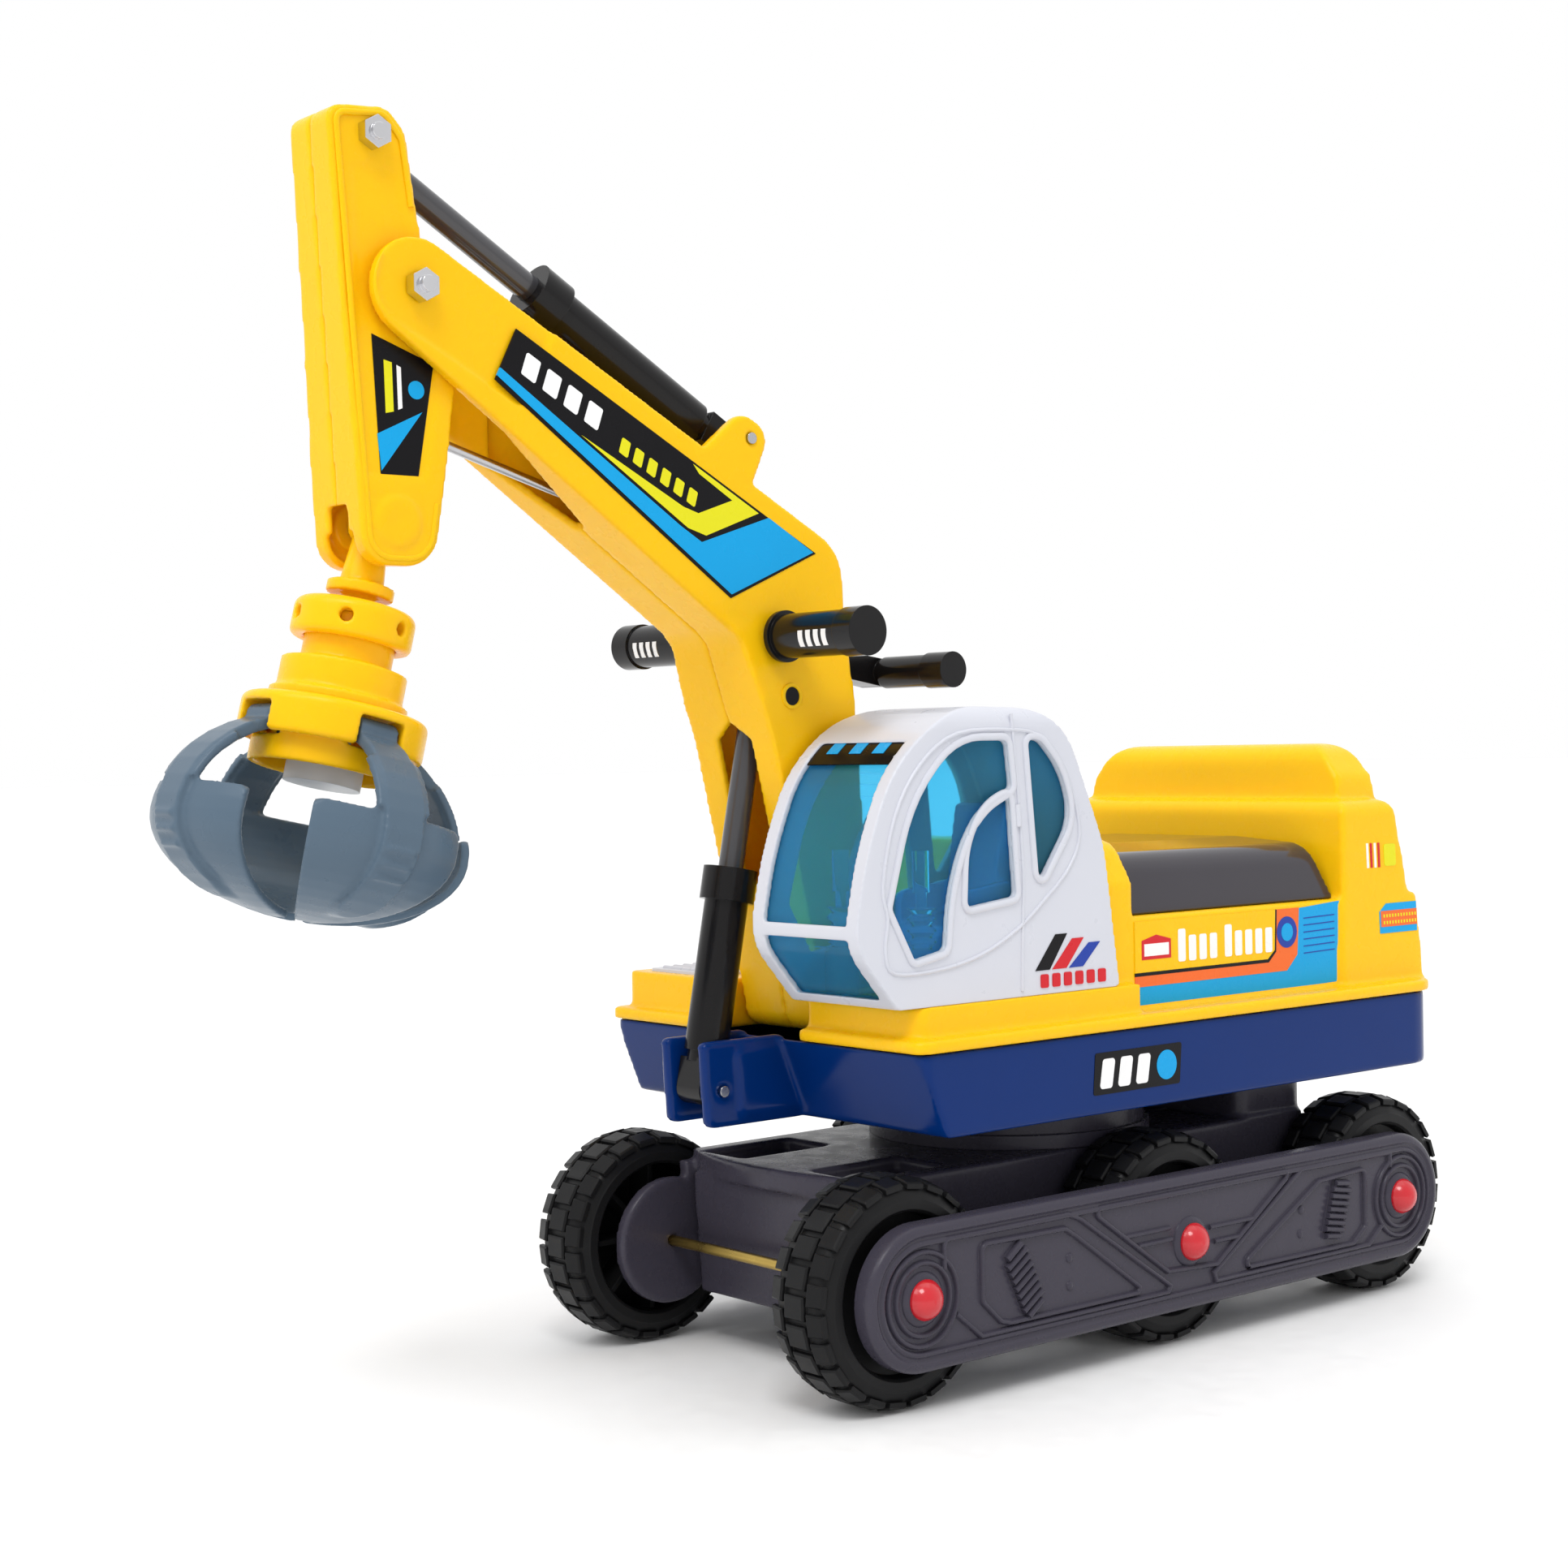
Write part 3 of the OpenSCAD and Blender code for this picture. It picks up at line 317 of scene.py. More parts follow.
def dress_cad_nodes():
    """Gives every CAD node its material, smooth shading and its moulded edges."""
    slots = {part["node"]: part["material_slot"] for part in frame["record"]["subparts"]}
    for name, obj in frame["nodes"].items():
        slot = slots[name]
        obj.data.materials.clear()
        obj.data.materials.append(MAT[SLOT_MATERIALS[slot]])
        shade(obj)
    for node in ("body_shell", "tub", "chassis_frame"):
        soften(node, 1.7, 5)
    for node in ("boom_left", "boom_right", "stick_left", "stick_right", "seat_pad"):
        soften(node, 1.4, 4)
    for node in ("grab_cap", "grab_housing", "lock_collar", "grab_yoke", "cab_shell", "cab_seat"):
        soften(node, 1.0, 3)
    for node in ("claw_front", "claw_right", "claw_rear", "claw_left"):
        soften(node, 1.0, 4)


# ---------- wheels ----------

WHEEL_R = 60.0
WHEEL_HALF = 20.0
WHEEL_X = 105.0
BLOCKS = 24
TREAD_R = 57.2
BLOCK_TOP = WHEEL_R - 0.9
MID_BLOCK = (-7.5, 7.5, BLOCK_TOP, BLOCK_TOP)
SIDE_BLOCK_IN = 9.2
SIDE_BLOCK_OUT = WHEEL_HALF - 0.4
SIDE_BLOCK_DROP = 2.2
SPOKES = 8
SPOKE_DEPTH = (-11.5, 9)
SPOKE_FOOT_R = 10
SPOKE_FOOT_HALF = 0.14
SPOKE_TIP_R = 43.5
SPOKE_TIP_HALF = 0.033
TYRE_PROFILE = (
    (3.1, -18), (11, -18), (11, 8), (42.5, 8), (42.5, -18.5), (44, -20), (49, -20), (50, -19.2),
    (53, -18.6), (55.6, -16.2), (TREAD_R, -13.5), (TREAD_R, 13.5), (55.6, 16.2), (53, 18.6), (50, 19.2),
    (49, 20), (44, 20), (42.5, 18.5), (41.5, 12.2), (38, 11.6), (14, 11.6), (13, 17), (11, 18), (3.1, 18),
)


def wheel_point(side, y, radius, angle, h):
    """Point on a wheel: h runs out along its axle on that side."""
    return at(side * (WHEEL_X + h), y + radius * math.cos(angle), AXLE_Z + radius * math.sin(angle))


def tread_block(shape, side, y, angle, half_angle, corners):
    """One tread block: corners are (h low, h high, radius at low, radius at high), in three layers."""
    rings = []
    for shrink, rise in ((0.0, -2.5), (0.0, 0.0), (0.9, 0.9)):
        h0, h1, r0, r1 = corners
        half = half_angle - shrink / WHEEL_R
        ring = [
            wheel_point(side, y, r0 + rise, angle - half, h0 + shrink),
            wheel_point(side, y, r0 + rise, angle + half, h0 + shrink),
            wheel_point(side, y, r1 + rise, angle + half, h1 - shrink),
            wheel_point(side, y, r1 + rise, angle - half, h1 - shrink),
        ]
        rings.append(ring)
    shape.loft(rings)


def spokes(shape, side, y):
    """Tapered ribs from the hub to the rim."""
    for k in range(SPOKES):
        angle = 2 * math.pi * k / SPOKES
        rings = []
        for h in SPOKE_DEPTH:
            ring = []
            for radius, half in ((SPOKE_FOOT_R, SPOKE_FOOT_HALF), (SPOKE_TIP_R, -SPOKE_TIP_HALF)):
                ring.append(wheel_point(side, y, radius, angle - half, h))
                ring.append(wheel_point(side, y, radius, angle + half, h))
            rings.append(ring)
        shape.loft(rings)


def wheel(name, side, y, body):
    """Hollow wheel with a solid hub, spokes and three rows of tread blocks."""
    shape = Shape()
    shape.tube_ring(at(side * WHEEL_X, y, AXLE_Z), (side, 0, 0), TYRE_PROFILE, 96)
    pitch = 2 * math.pi / BLOCKS
    shoulder = BLOCK_TOP - SIDE_BLOCK_DROP
    outer = (SIDE_BLOCK_IN, SIDE_BLOCK_OUT, BLOCK_TOP, shoulder)
    inner = (-SIDE_BLOCK_OUT, -SIDE_BLOCK_IN, shoulder, BLOCK_TOP)
    for k in range(BLOCKS):
        angle = k * pitch
        tread_block(shape, side, y, angle, pitch * 0.4, MID_BLOCK)
        for corners in (inner, outer):
            tread_block(shape, side, y, angle + pitch / 2, pitch * 0.385, corners)
    spokes(shape, side, y)
    shape.piece("tyre_" + name, MAT["tyre"], body, "wheel_black", ("wheel_" + name,))


def wheels():
    for end, y in zip(("front", "mid", "rear"), AXLE_YS):
        for side, word in ((-1, "left"), (1, "right")):
            name = end + "_" + word
            wheel(name, side, y, "wheel_" + name + "_body")


# ---------- side covers ----------

COVER_R = 38.0
COVER_FACE = 136.0
COVER_BACK = 127.0
COVER_STEPS = 28


def stadium(inset, x, side):
    """Outline of a side cover, drawn in by inset."""
    r = COVER_R - inset
    ring = []
    for end, start in ((1, -90), (-1, 90)):
        for k in range(COVER_STEPS + 1):
            a = math.radians(start + 180 * k / COVER_STEPS)
            ring.append(at(side * x, end * 200 + r * math.cos(a), AXLE_Z + r * math.sin(a)))
    return ring


def arc(y, radius, first, last, steps=20):
    return [(y + radius * math.cos(math.radians(first + (last - first) * k / steps)),
             AXLE_Z + radius * math.sin(math.radians(first + (last - first) * k / steps)))
            for k in range(steps + 1)]


FRONT_FRAME = ((-158, 82, 4), (-158, 52, 4), (-145, 40, 3), (-138, 38, 3), (-39, 38, 2.5), (-37, 41, 2),
               (-87, 76, 6), (-96, 81.5, 6))
REAR_FRAME = ((51, 40.5, 3), (121, 79, 6), (165, 81, 4), (165, 46, 4), (153, 37.5, 3), (56, 38, 3))
MID_FRAME = ((-77, 89, 3), (-14, 46, 3), (28, 44, 3), (91, 85, 2), (91, 89, 2))
FRONT_CELL = ((-185, 73), (-185, 86), (-183, 88.5), (-94, 89), (-84, 85), (-12, 38), (-14, 34.5),
              (-159, 34.5), (-177, 49))
REAR_CELL = ((190, 79), (190, 87.5), (104, 88), (25, 39.5), (27, 34.5), (168, 34.5), (182, 45))
SPRINGS = (((-136, 77), (-119, 41)), ((143, 77), (132, 43)))
BARS = (((-50, 70), (-12, 70)), ((-38, 63.5), (-10, 63.5)), ((22, 65.5), (61, 65.5)), ((26, 57), (49, 57)))
RIM_PROFILE = ((3.5, COVER_BACK), (0, COVER_BACK), (0, 134.6), (0.5, 136.4), (1.8, 137.7), (3.6, 138.5),
               (5.2, 138.5), (6.0, 137.6), (6.8, 137.1), (8.0, 137.1), (8.8, 138.0), (9.8, 138.4),
               (10.8, 138.0), (11.6, 136.0))
RIM_INNER = 134.0
HUB_CONE = ((14.5, -2.2), (14.0, 0.6), (12.6, 1.9), (11.2, 2.4), (9.6, 2.4), (8.8, 1.2), (3.2, 1.0),
            (3.2, -2.2))
HUB_TUBE = ((13, -0.5), (13, 9), (3.2, 9), (3.2, -0.5))
HUB_TUBE_X = 126
DOME = ((0.05, 1.5), (1.4, 1.3), (2.4, 0.7), (2.9, -0.4), (0.05, -0.4))
DOTS = ((-92, 65), (-92, 50), (105, 64), (104, 50))


def side_cover(side, word):
    """Long cover over the wheels with its stepped rim, raised lines, rings, springs and domes."""
    shape = Shape()
    rings = [stadium(inset, x, side) for inset, x in RIM_PROFILE[1:]]
    wall = [stadium(RIM_PROFILE[0][0], x, side) for x in (RIM_INNER, COVER_BACK)]
    shape.loft(wall + rings)
    out = (side, 0, 0)
    face = side * COVER_FACE
    for outline in (FRONT_FRAME, REAR_FRAME, MID_FRAME):
        shape.ridge(side_points(rounded(outline), face), out, 3.3, 2.5, closed=True)
    for path in (FRONT_CELL, REAR_CELL):
        shape.ridge(side_points(path, face), out, 3.2, 2.5)
    for bar in BARS:
        shape.ridge(side_points(bar, face), out, 3.0, 2.3)
    for y in AXLE_YS:
        shape.tube_ring(at(face, y, AXLE_Z), out, HUB_CONE, 48)
        shape.tube_ring(at(side * HUB_TUBE_X, y, AXLE_Z), out, HUB_TUBE, 40)
    for y in (AXLE_YS[0], AXLE_YS[2]):
        for radius in (18.5, 24.0):
            ring = arc(y, radius, 0, 360, 40)[:-1]
            shape.ridge(side_points(ring, face), out, 3.0, 2.4, closed=True)
    for foot, head in SPRINGS:
        coil_spring(shape, Vector(foot), Vector(head), side)
    for y, z in DOTS:
        shape.tube_ring(at(face, y, z), out, DOME, 20)
    shape.piece("cover_" + word, MAT["charcoal"], "chassis", "charcoal", ("side_cover_" + word,))


def coil_spring(shape, foot, head, side):
    """Relief of a coil spring: short fat beads across its axis."""
    along = (head - foot).normalized()
    across = Vector((-along.y, along.x)) * -1
    turns = 9
    for k in range(turns):
        middle = foot.lerp(head, (k + 0.5) / turns)
        reach = 8.4 if 0 < k < turns - 1 else 6.4
        a = middle - across * reach - along * 1.2
        b = middle + across * reach + along * 1.2
        path = [a.lerp(b, t) for t in (0, 0.15, 0.5, 0.85, 1)]
        shape.ridge(side_points(path, side * 136.4), (side, 0, 0), 4.0, 3.2)


def side_covers():
    side_cover(-1, "left")
    side_cover(1, "right")


# ---------- cab ----------

CAB_X = 125.0
CAB_SIDE = ((-203, 206, 3), (-36, 206, 2), (-47, 285, 90), (-80, 360, 45), (-160, 362, 75), (-203, 332, 80),
            (-223, 285, 200), (-232, 240, 30))
FRONT_WINDOW = ((-206, 258, 4), (-191, 231, 3), (-169, 235, 4), (-166, 262, 100), (-157, 288, 80),
                (-142, 308, 45), (-119, 318, 3), (-122, 343, 4), (-158, 343, 45), (-190, 312, 90))
DOOR_WINDOW = ((-153, 256, 3), (-117, 260, 3), (-121, 314, 3), (-138, 308, 35), (-151, 288, 44))
QUARTER_WINDOW = ((-99, 265, 3), (-73, 300, 25), (-80, 326, 50), (-97, 343, 12), (-106, 343, 3))
DOOR_LINE = ((-205, 225), (-211, 237), (-209, 253), (-212, 270), (-203, 305), (-185, 331), (-158, 347),
             (-115, 348.5), (-98, 345), (-83, 334), (-72, 314), (-67, 291), (-76, 273), (-95, 257),
             (-115, 243), (-142, 231), (-172, 225))
PILLAR_LINE = ((-118, 357), (-116.5, 340), (-113.5, 310), (-111, 272), (-112, 243), (-113, 209))
HANDLE_LINE = ((-115, 309), (-114.4, 297))


def smooth_path(points, steps=4, closed=False):
    """Points along a curve that passes through every given point."""
    count = len(points)
    out = []
    spans = count if closed else count - 1
    for i in range(spans):
        p0 = Vector(points[i - 1] if closed or i else points[0])
        p1 = Vector(points[i])
        p2 = Vector(points[(i + 1) % count])
        p3 = Vector(points[(i + 2) % count] if closed or i + 2 < count else points[-1])
        for k in range(steps):
            t = k / steps
            out.append(0.5 * ((2 * p1) + (p2 - p0) * t + (2 * p0 - 5 * p1 + 4 * p2 - p3) * t * t
                              + (3 * p1 - p0 - 3 * p2 + p3) * t ** 3))
    if not closed:
        out.append(Vector(points[-1]))
    return out


def cab_trim():
    """Raised window rims, the door's outline, the pillar line and the handle, on both sides."""
    shape = Shape()
    for side_x, out in ((CAB_X, (1, 0, 0)), (41.0, (-1, 0, 0))):
        for window in (FRONT_WINDOW, DOOR_WINDOW, QUARTER_WINDOW):
            rim = rounded(window_rim(window))
            shape.ridge(side_points(rim, side_x), out, 4.2, 1.7, closed=True)
        shape.ridge(side_points(smooth_path(DOOR_LINE, 4, True), side_x), out, 2.2, 1.2, closed=True)
        shape.ridge(side_points(smooth_path(PILLAR_LINE), side_x), out, 2.0, 1.0)
        shape.ridge(side_points(HANDLE_LINE, side_x), out, 4.5, 2.2)
    shape.piece("cab_trim", MAT["cab"], "upper", "cab_grey")


def window_rim(window):
    """Corners of the bead round a window; only corners that bulge get a larger radius."""
    return [(y, z, r + 2 if r < 5 else r) for y, z, r in grown(window, 2.2)]


def grown(outline, distance):
    """The outline's corners moved out from its middle by about that distance."""
    points = [Vector(p[:2]) for p in outline]
    count = len(points)
    area = sum(points[i].x * points[(i + 1) % count].y - points[i].y * points[(i + 1) % count].x
               for i in range(count))
    turn = 1 if area > 0 else -1
    out = []
    for i, p in enumerate(points):
        d0 = (p - points[i - 1]).normalized()
        d1 = (points[(i + 1) % count] - p).normalized()
        n0 = Vector((d0.y, -d0.x)) * turn
        n1 = Vector((d1.y, -d1.x)) * turn
        move = (n0 + n1) / (1 + n0.dot(n1))
        out.append((p.x + move.x * distance, p.y + move.y * distance, outline[i][2]))
    return out


BAND_FOOT = 329
BAND_FRONT = -165
BAND_DEPTH = -1.6
DASH_STEP = 18
DASH_WIDTH = 9


def windscreen_band():
    """Black band with cyan dashes across the top of the windscreen, on the slope of the cab."""
    outline = rounded(grown(CAB_SIDE, BAND_DEPTH), 12)
    slope = [p for p in outline if p.y > BAND_FOOT and p.x < BAND_FRONT]
    slope.sort(key=lambda p: p.y)
    slope_strip("header_band", slope, 50, 116, 0.4, "ink_and_shade_black", "black")
    for k in range(3):
        x = 60 + DASH_STEP * k
        slope_strip("header_dash_%d" % k, slope[2:-2], x, x + DASH_WIDTH, 0.7, "ink_cyan", "blue")


def slope_strip(name, path, x0, x1, thick, ink, slot):
    """Strip across x0 to x1 that follows a side-view path, thick on both sides of it."""
    shape = Shape()
    rings = []
    for i, p in enumerate(path):
        along = (path[min(i + 1, len(path) - 1)] - path[max(i - 1, 0)]).normalized()
        out = Vector((-along.y, along.x)) * thick
        low, high = p - out, p + out
        rings.append([at(x0, *low), at(x1, *low), at(x1, *high), at(x0, *high)])
    shape.loft(rings)
    shape.piece(name, MAT[ink], "upper", slot)


VENT_Z = 211.0


def deck_vent():
    """Grey grille on the box beside the boom slot."""
    shape = Shape()
    outline = rounded([(-116, -182, 5), (-54, -182, 5), (-54, -122, 5), (-116, -122, 5)])
    shape.prism([at(p.x, p.y, VENT_Z) for p in outline], (0, 0, 1), 1.6, 0.6)
    for k in range(7):
        y = -174 + 7.3 * k
        shape.ridge([at(-110, y, VENT_Z + 1.5), at(-60, y, VENT_Z + 1.5)], (0, 0, 1), 3.4, 1.6)
    shape.piece("deck_vent", MAT["cab"], "upper", "cab_grey")


STICK_BEAD = ((-407.5, 463, 0), (-412, 435.6, 14), (-444.3, 435.6, 12), (-456.8, 646.5, 5), (-430.5, 649, 7),
              (-421, 638, 7), (-416.6, 606, 0))


def stick_beads():
    """Raised bead along the front edge and round the ends of each side of the stick.

    It leaves out the back edge, which swings in between the boom's ears with little room to spare.
    """
    for side, word in ((-1, "left"), (1, "right")):
        shape = Shape()
        path = rounded(STICK_BEAD, 8)
        points = [at(side * (stick_face(p.y) + 0.7), p.x, p.y) for p in path]
        shape.ridge(points, (side, 0, 0), 3.2, 1.2)
        shape.piece("stick_bead_" + word, MAT["yellow"], "stick", "yellow")


def boom_screw_wells():
    """Raised ring round a screw on each side of the boom's column, with a black disc in it as painted shade
    for the screw's hole.
    """
    for side, word in ((-1, "left"), (1, "right")):
        ring, hole_shade_disc = Shape(), Shape()
        centre = at(side * 35, -194, 369)
        ring.tube_ring(centre, (side, 0, 0), ((7.2, -0.6), (7.0, 0.8), (5.2, 0.8), (4.8, -0.6)), 36)
        hole_shade_disc.tube_ring(centre, (side, 0, 0), ((4.9, -0.6), (4.9, 0.25), (0.05, 0.25), (0.05, -0.6)), 36)
        ring.piece("boom_well_ring_" + word, MAT["yellow"], "boom", "yellow")
        # the black disc is painted shade, standing in for the dark inside of the screw's hole
        hole_shade_disc.piece("boom_well_" + word, MAT["ink_and_shade_black"], "boom", "black")


# ---------- printed graphics, with plain shapes in place of lettering ----------

INK_SLOTS = {
    "ink_and_shade_black": "black", "ink_cyan": "blue", "ink_lime": "yellow", "ink_orange": "yellow",
    "ink_white": "white", "ink_red": "cap_red", "ink_blue": "blue", "yellow": "yellow",
}
FILM = 0.3  # thickness of the lowest printed film; films on top of it stand out further
FILM_EDGE = 0.15
DISC_SIDES = 28

BOOM_FACE = 30.0
BOOM_PANEL = ((-377, 525), (-364, 551), (-171, 447), (-231, 421))
BOOM_STRIPE = ((-376, 527), (-374, 531), (-264, 458), (-250, 450), (-204, 465), (-173, 447.5), (-230.5, 423))
BOOM_WEDGE = ((-326, 501), (-259, 457), (-247, 453.5), (-211, 467), (-255, 491), (-251, 486), (-229, 473),
              (-252, 465), (-262, 468))
BOOM_BAR = ((0, 0), (8.5, -4.8), (12.5, 6.5), (4, 11.2))
BOOM_DASH = ((0, 0), (5.6, -3.2), (8, 5), (2.6, 8))

STICK_PANEL = ((-440, 543), (-438, 475.5), (-417, 475.5), (-406, 531))
STICK_CORNER = ((-439, 495), (-437.6, 477), (-413.5, 507))
STICK_TITLE = ((-434, 531), (-434, 505), (-429.5, 506), (-429.5, 530))
STICK_LINE = ((-427, 529), (-427, 507), (-424.6, 508), (-424.6, 528))

BODY_FACE = 118.0
SIDE_CYAN = ((-17, 190), (168, 193), (169, 242), (118, 239), (-16, 206))
SIDE_ORANGE = ((-16.5, 203), (118, 203), (128, 212), (130, 240), (-16.5, 240))
SIDE_EDGE = ((-16.5, 209), (101, 209), (108, 215), (109, 240), (-16.5, 240))
SIDE_FIELD = ((-16.5, 211), (100, 211), (106.5, 216), (107.5, 240), (-16.5, 240))
SIDE_BADGE = ((-11, 218), (14, 218), (14, 229), (1.5, 232), (-11, 229))
SIDE_LINE = ((134, 0), (164, 0.6), (164, 1.2), (134, 0.6))

TUB_FACE = 133.0
TUB_PATCH = ((-68, 149), (3, 149), (5, 172), (-66, 172))
TUB_BAR = ((0, 152), (10, 152), (13, 168.5), (3, 168.5))

BACK_BAND = ((206, 219.5), (244, 219.5), (244, 238), (213, 238), (206, 233))


def sticker(name, outline, x, ink, body="upper", thick=FILM, radius=0.0, slot=None):
    """Thin printed film in side view, on the plane at x, which may be a function of the height."""
    place = x if callable(x) else lambda z: x
    points = rounded([(y, z, radius) for y, z in outline]) if radius else [Vector(p) for p in outline]
    spots = [at(place(z), y, z) for y, z in points]
    out = (1 if place(points[0][1]) > 0 else -1, 0, 0)
    shape = Shape()
    shape.prism(spots, out, thick, FILM_EDGE)
    return shape.piece(name, MAT[ink], body, slot or INK_SLOTS[ink])


def moved(outline, y, z):
    return [(y + a, z + b) for a, b in outline]


def box(y0, z0, y1, z1):
    return (y0, z0), (y1, z0), (y1, z1), (y0, z1)


def disc(name, y, z, radius, x, ink, thick, body="upper"):
    angles = (2 * math.pi * k / DISC_SIDES for k in range(DISC_SIDES))
    outline = [(y + radius * math.cos(a), z + radius * math.sin(a)) for a in angles]
    sticker(name, outline, x, ink, body, thick)


def boom_graphics(side, word):
    """Black panel with a cyan stripe, a lime wedge and two rows of plain bars."""
    x = side * BOOM_FACE
    sticker("boom_panel_" + word, BOOM_PANEL, x, "ink_and_shade_black", "boom")
    sticker("boom_stripe_" + word, BOOM_STRIPE, x, "ink_cyan", "boom", 0.45)
    sticker("boom_wedge_" + word, BOOM_WEDGE, x, "ink_lime", "boom", 0.5)
    for k in range(4):
        bar = moved(BOOM_BAR, -362 + 12.5 * k, 529 - 6.9 * k)
        sticker("boom_bar_%d_%s" % (k, word), bar, x, "ink_white", "boom", 0.5, 1.2)
    for k in range(6):
        dash = moved(BOOM_DASH, -303 + 8.6 * k, 494 - 4.6 * k)
        sticker("boom_dash_%d_%s" % (k, word), dash, x, "ink_lime", "boom", 0.5, 1.0)


def stick_face(z):
    """Distance of the recessed side panel of the stick from its centre plane at that height."""
    flare = max(0.0, (560.0 - z) / (560.0 - 470.0))
    return 19.0 + 3.5 * min(1.0, flare)


def stick_graphics(side, word):
    """Black patch with a blue corner, a disc and plain bars."""

    def face(z):
        return side * stick_face(z)

    sticker("stick_panel_" + word, STICK_PANEL, face, "ink_and_shade_black", "stick")
    sticker("stick_corner_" + word, STICK_CORNER, face, "ink_cyan", "stick", 0.45)
    sticker("stick_title_" + word, STICK_TITLE, face, "ink_lime", "stick", 0.45)
    sticker("stick_line_" + word, STICK_LINE, face, "ink_white", "stick", 0.45)
    disc("stick_disc_" + word, -416.5, 517.5, 4.6, face, "ink_cyan", 0.55, "stick")


def body_graphics():
    """Side panel of the seat box: yellow field, orange frame, cyan bands and plain bars."""
    sticker("side_cyan", SIDE_CYAN, BODY_FACE, "ink_cyan")
    sticker("side_orange", SIDE_ORANGE, BODY_FACE, "ink_orange", thick=0.45)
    sticker("side_edge", SIDE_EDGE, BODY_FACE, "ink_and_shade_black", thick=0.55)
    sticker("side_field", SIDE_FIELD, BODY_FACE, "yellow", thick=0.65)
    sticker("side_badge", SIDE_BADGE, BODY_FACE, "ink_red", thick=0.8)
    sticker("side_badge_band", box(-9, 220, 12, 227), BODY_FACE, "ink_white", thick=0.95)
    for k in range(9):
        y = 20 + 9.2 * k + (4 if k > 3 else 0)
        top = 234 if k in (0, 4) else 230
        sticker("side_bar_%d" % k, box(y, 215, y + 6.4, top), BODY_FACE, "ink_white", thick=0.85, radius=1.4)
    disc("side_emblem", 118, 226, 9.5, BODY_FACE, "ink_blue", 0.7)
    disc("side_emblem_core", 118, 226, 5.5, BODY_FACE, "ink_cyan", 0.9)
    for k in range(6):
        sticker("side_line_%d" % k, moved(SIDE_LINE, 0, 212 + 4.2 * k), BODY_FACE, "ink_blue", thick=0.5)


def cab_graphics():
    """Three slanted bands over a row of plain bars, behind the cab's door."""
    for k, ink in enumerate(("ink_and_shade_black", "ink_red", "ink_blue")):
        y = -103 + 13 * k
        top = 238 - 3 * k
        band = ((y, 219), (y + 11, 219), (y + 25, top), (y + 16, top))
        sticker("cab_band_%d" % k, band, CAB_X, ink, thick=0.4)
    for k in range(6):
        y = -99 + 9 * k
        sticker("cab_bar_%d" % k, box(y, 209.5, y + 6, 217), CAB_X, "ink_red", thick=0.7, radius=1.2)


def tub_graphics():
    """Black patch with three plain bars and a disc on the tub's right side."""
    sticker("tub_patch", TUB_PATCH, TUB_FACE, "ink_and_shade_black", radius=1.5)
    for k in range(3):
        bar = moved(TUB_BAR, -63 + 14.5 * k, 0)
        sticker("tub_bar_%d" % k, bar, TUB_FACE, "ink_white", thick=0.5, radius=2)
    disc("tub_disc", -8, 160.5, 8.4, TUB_FACE, "ink_cyan", 0.5)


def back_face(z):
    """Distance of the backrest's side from the centre plane at that height."""
    return 122.0 - 4.0 * (z - 183.0) / 120.0


def back_graphics():
    """Red and white stripes, a lime patch and a dotted vent band on the backrest's side."""
    for k in range(4):
        y = 195.5 + 3.8 * k
        ink = "ink_red" if k % 2 else "ink_white"
        sticker("stripe_%d" % k, box(y, 260.5, y + 2, 276), back_face, ink, thick=0.35, slot="cap_red")
    sticker("back_patch", box(213, 261, 225, 275), back_face, "ink_lime", thick=0.35, radius=2)
    sticker("vent_band", BACK_BAND, back_face, "ink_cyan", thick=0.35)
    sticker("vent_mesh", box(207, 223.5, 244, 233.5), back_face, "ink_orange", thick=0.5)
    for k in range(12):
        for j in range(2):
            y, z = 209.5 + 2.9 * k, 225 + 4.2 * j
            sticker("vent_dot_%d_%d" % (k, j), box(y, z, y + 1.5, z + 2.2), back_face, "ink_lime", thick=0.6)


GRIP_R = 12.25
GRIP_BAR_ANGLES = [math.radians(172 + 7 * k) for k in range(7)]
GRIP_BAR_WIDTH = 3.6


def grip_stripes():
    """Printed white bars round the end of each handlebar grip, facing forward."""
    shape = Shape()
    for side in (-1, 1):
        for k in range(4):
            x = 62 + 6.2 * k
            rings = []
            for r in (GRIP_R - 0.4, GRIP_R):
                low = [at(side * x, BAR_AT[0] + r * math.cos(a), BAR_AT[1] + r * math.sin(a))
                       for a in GRIP_BAR_ANGLES]
                high = [p + Vector((side * GRIP_BAR_WIDTH * MM, 0, 0)) for p in low]
                rings.append(low + high[::-1])
            shape.loft(rings)
    shape.piece("grip_stripes", MAT["ink_white"], "boom", "white")


def graphics():
    for side, word in ((-1, "left"), (1, "right")):
        boom_graphics(side, word)
        stick_graphics(side, word)
    body_graphics()
    cab_graphics()
    tub_graphics()
    back_graphics()
    grip_stripes()


# ---------- studio ----------


def studio():
    mesh = bpy.data.meshes.new("studio_floor")
    reach = 30.0
    corners = [(-reach, -reach, 0), (reach, -reach, 0), (reach, reach, 0), (-reach, reach, 0)]
    mesh.from_pydata(corners, [], [(0, 1, 2, 3)])
    floor = bpy.data.objects.new("studio_floor", mesh)
    bpy.context.scene.collection.objects.link(floor)
    mesh.materials.append(surface("floor_paint", (0.9, 0.9, 0.9, 1.0), 0.7, 0.01, grain=0.0, edge=0))
    bpy.context.scene.view_settings.view_transform = "Standard"
    studio_walls()
    add_light("sun_light", "SUN", (0.9, -0.9, 2.1), 1.15).angle = math.radians(22)
    add_light("key_light", "AREA", (0.2, -2.0, 2.2), 12).size = 1.2
    add_light("top_light", "AREA", (0.2, 0.6, 2.8), 8).size = 2.0


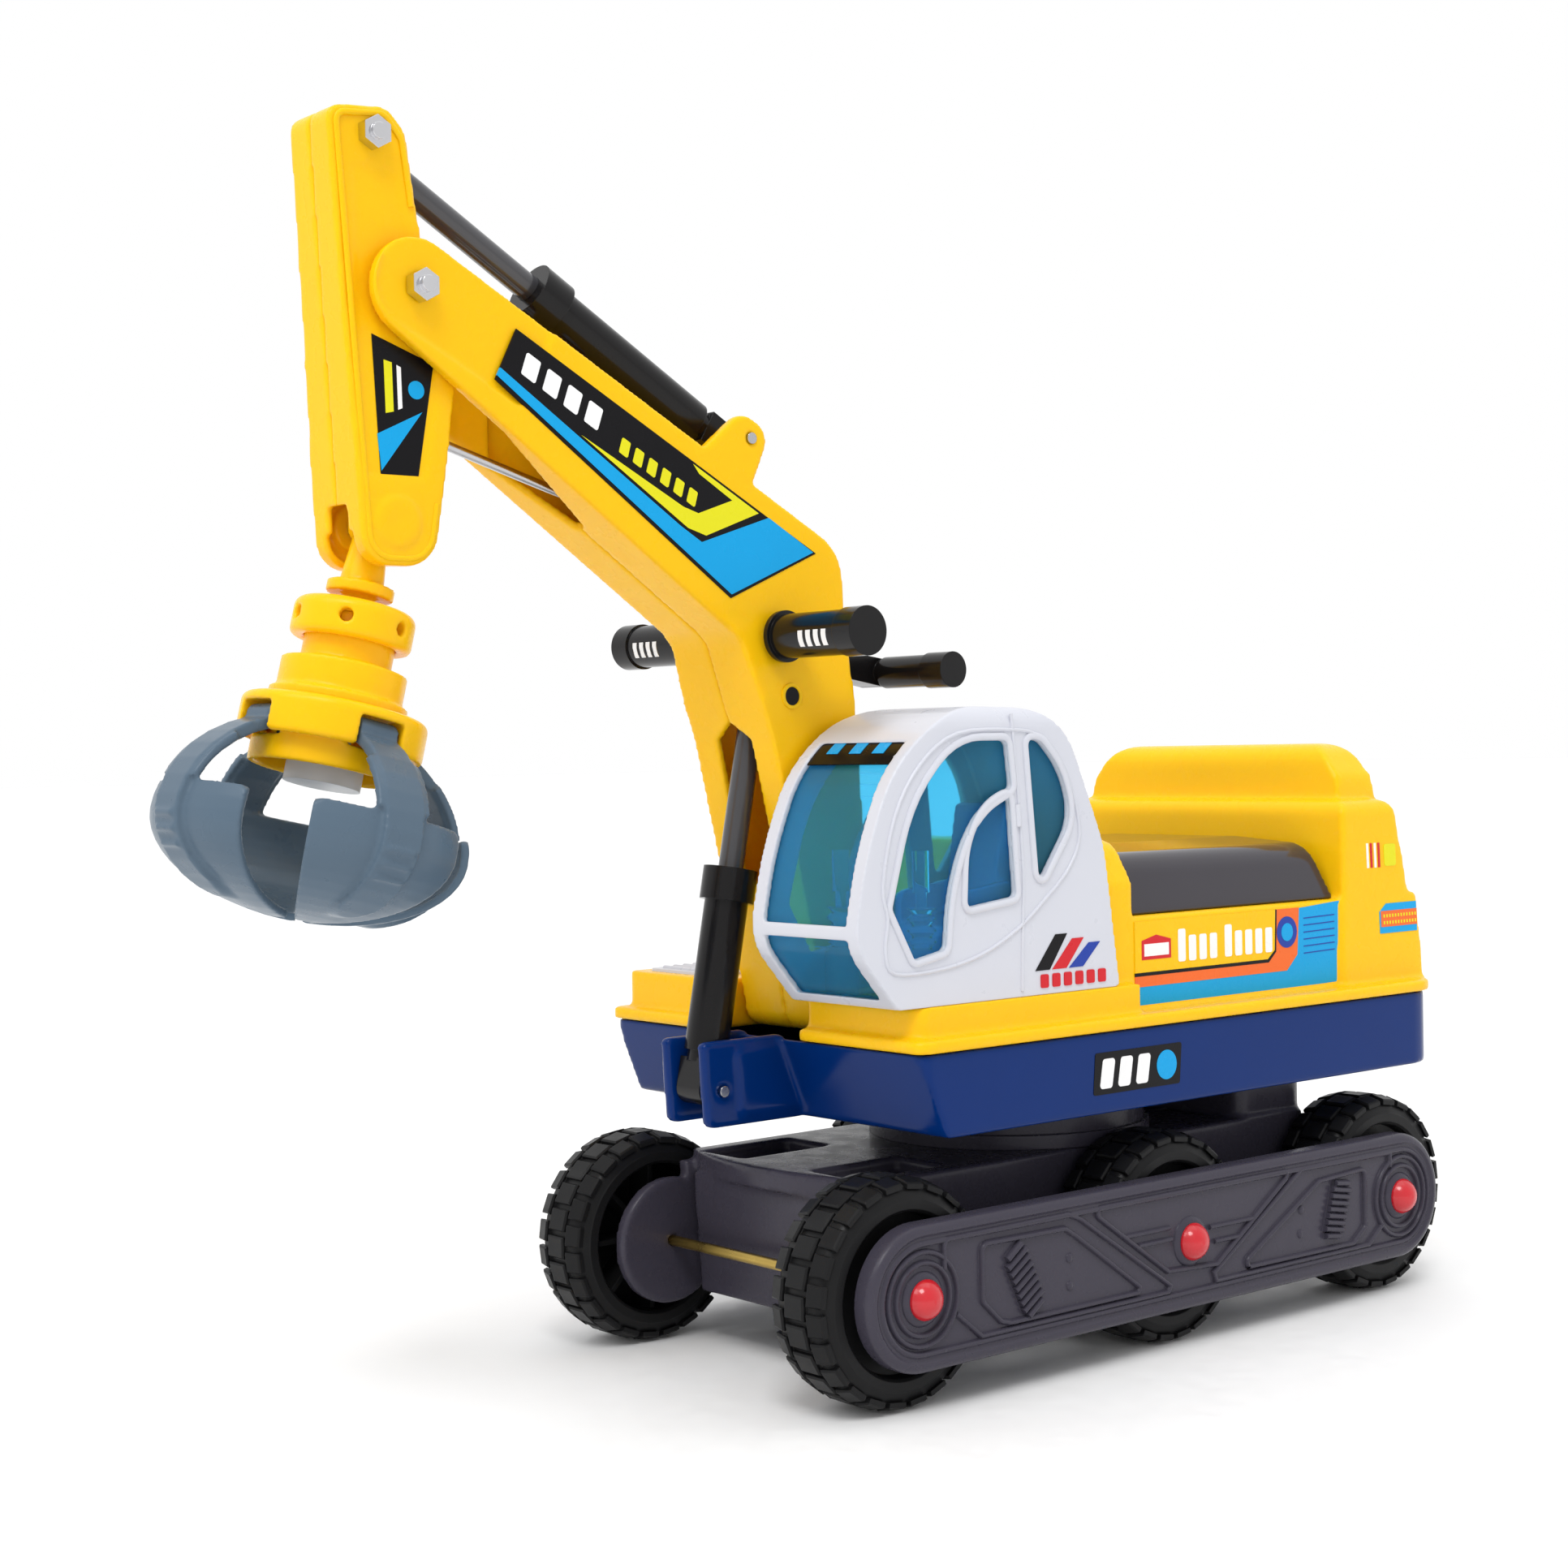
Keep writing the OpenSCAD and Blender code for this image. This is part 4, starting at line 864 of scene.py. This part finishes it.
def add_light(name, kind, place, power):
    """Light at place, aimed at the toy's middle."""
    light = bpy.data.lights.new(name, kind)
    light.energy = power
    obj = bpy.data.objects.new(name, light)
    obj.location = place
    aim = Vector((0.0, 0.0, 0.3)) - Vector(place)
    obj.rotation_euler = aim.to_track_quat("-Z", "Y").to_euler()
    bpy.context.scene.collection.objects.link(obj)
    return light


def studio_walls():
    """White surroundings that dim toward the front right, so that glossy dark parts stay dark."""
    world = bpy.data.worlds.new("studio_world")
    bpy.context.scene.world = world
    world.use_nodes = True
    tree = world.node_tree
    coords = tree.nodes.new("ShaderNodeTexCoord")
    dot = tree.nodes.new("ShaderNodeVectorMath")
    dot.operation = "DOT_PRODUCT"
    dot.inputs[1].default_value = (-0.77, 0.64, 0.0)
    tree.links.new(coords.outputs["Generated"], dot.inputs[0])
    ramp = tree.nodes.new("ShaderNodeMapRange")
    ramp.interpolation_type = "SMOOTHSTEP"
    ramp.inputs["From Min"].default_value = -0.75
    ramp.inputs["From Max"].default_value = 0.3
    ramp.inputs["To Min"].default_value = 0.76
    ramp.inputs["To Max"].default_value = 1.0
    tree.links.new(dot.outputs["Value"], ramp.inputs["Value"])
    background = tree.nodes["Background"]
    background.inputs["Color"].default_value = (1.0, 1.0, 1.0, 1.0)
    tree.links.new(ramp.outputs["Result"], background.inputs["Strength"])


def camera():
    yaw, pitch, roll = math.radians(50.144), math.radians(-0.8194), math.radians(-1.0443)
    ahead = Vector((-math.sin(yaw) * math.cos(pitch), math.cos(yaw) * math.cos(pitch), math.sin(pitch)))
    level = ahead.cross(Vector((0, 0, 1))).normalized()
    above = level.cross(ahead)
    right = level * math.cos(roll) + above * math.sin(roll)
    up = -level * math.sin(roll) + above * math.cos(roll)
    data = bpy.data.cameras.new("camera")
    data.lens = 55.599
    data.sensor_width = 36.0
    obj = bpy.data.objects.new("camera", data)
    place = Matrix((right, up, -ahead)).transposed().to_4x4()
    place.translation = Vector((1.03502, -0.89258, 0.34039))
    obj.matrix_world = place
    bpy.context.scene.collection.objects.link(obj)
    bpy.context.scene.camera = obj


dress_cad_nodes()
wheels()
side_covers()
cab_trim()
stick_beads()
windscreen_band()
deck_vent()
boom_screw_wells()
graphics()
studio()
camera()
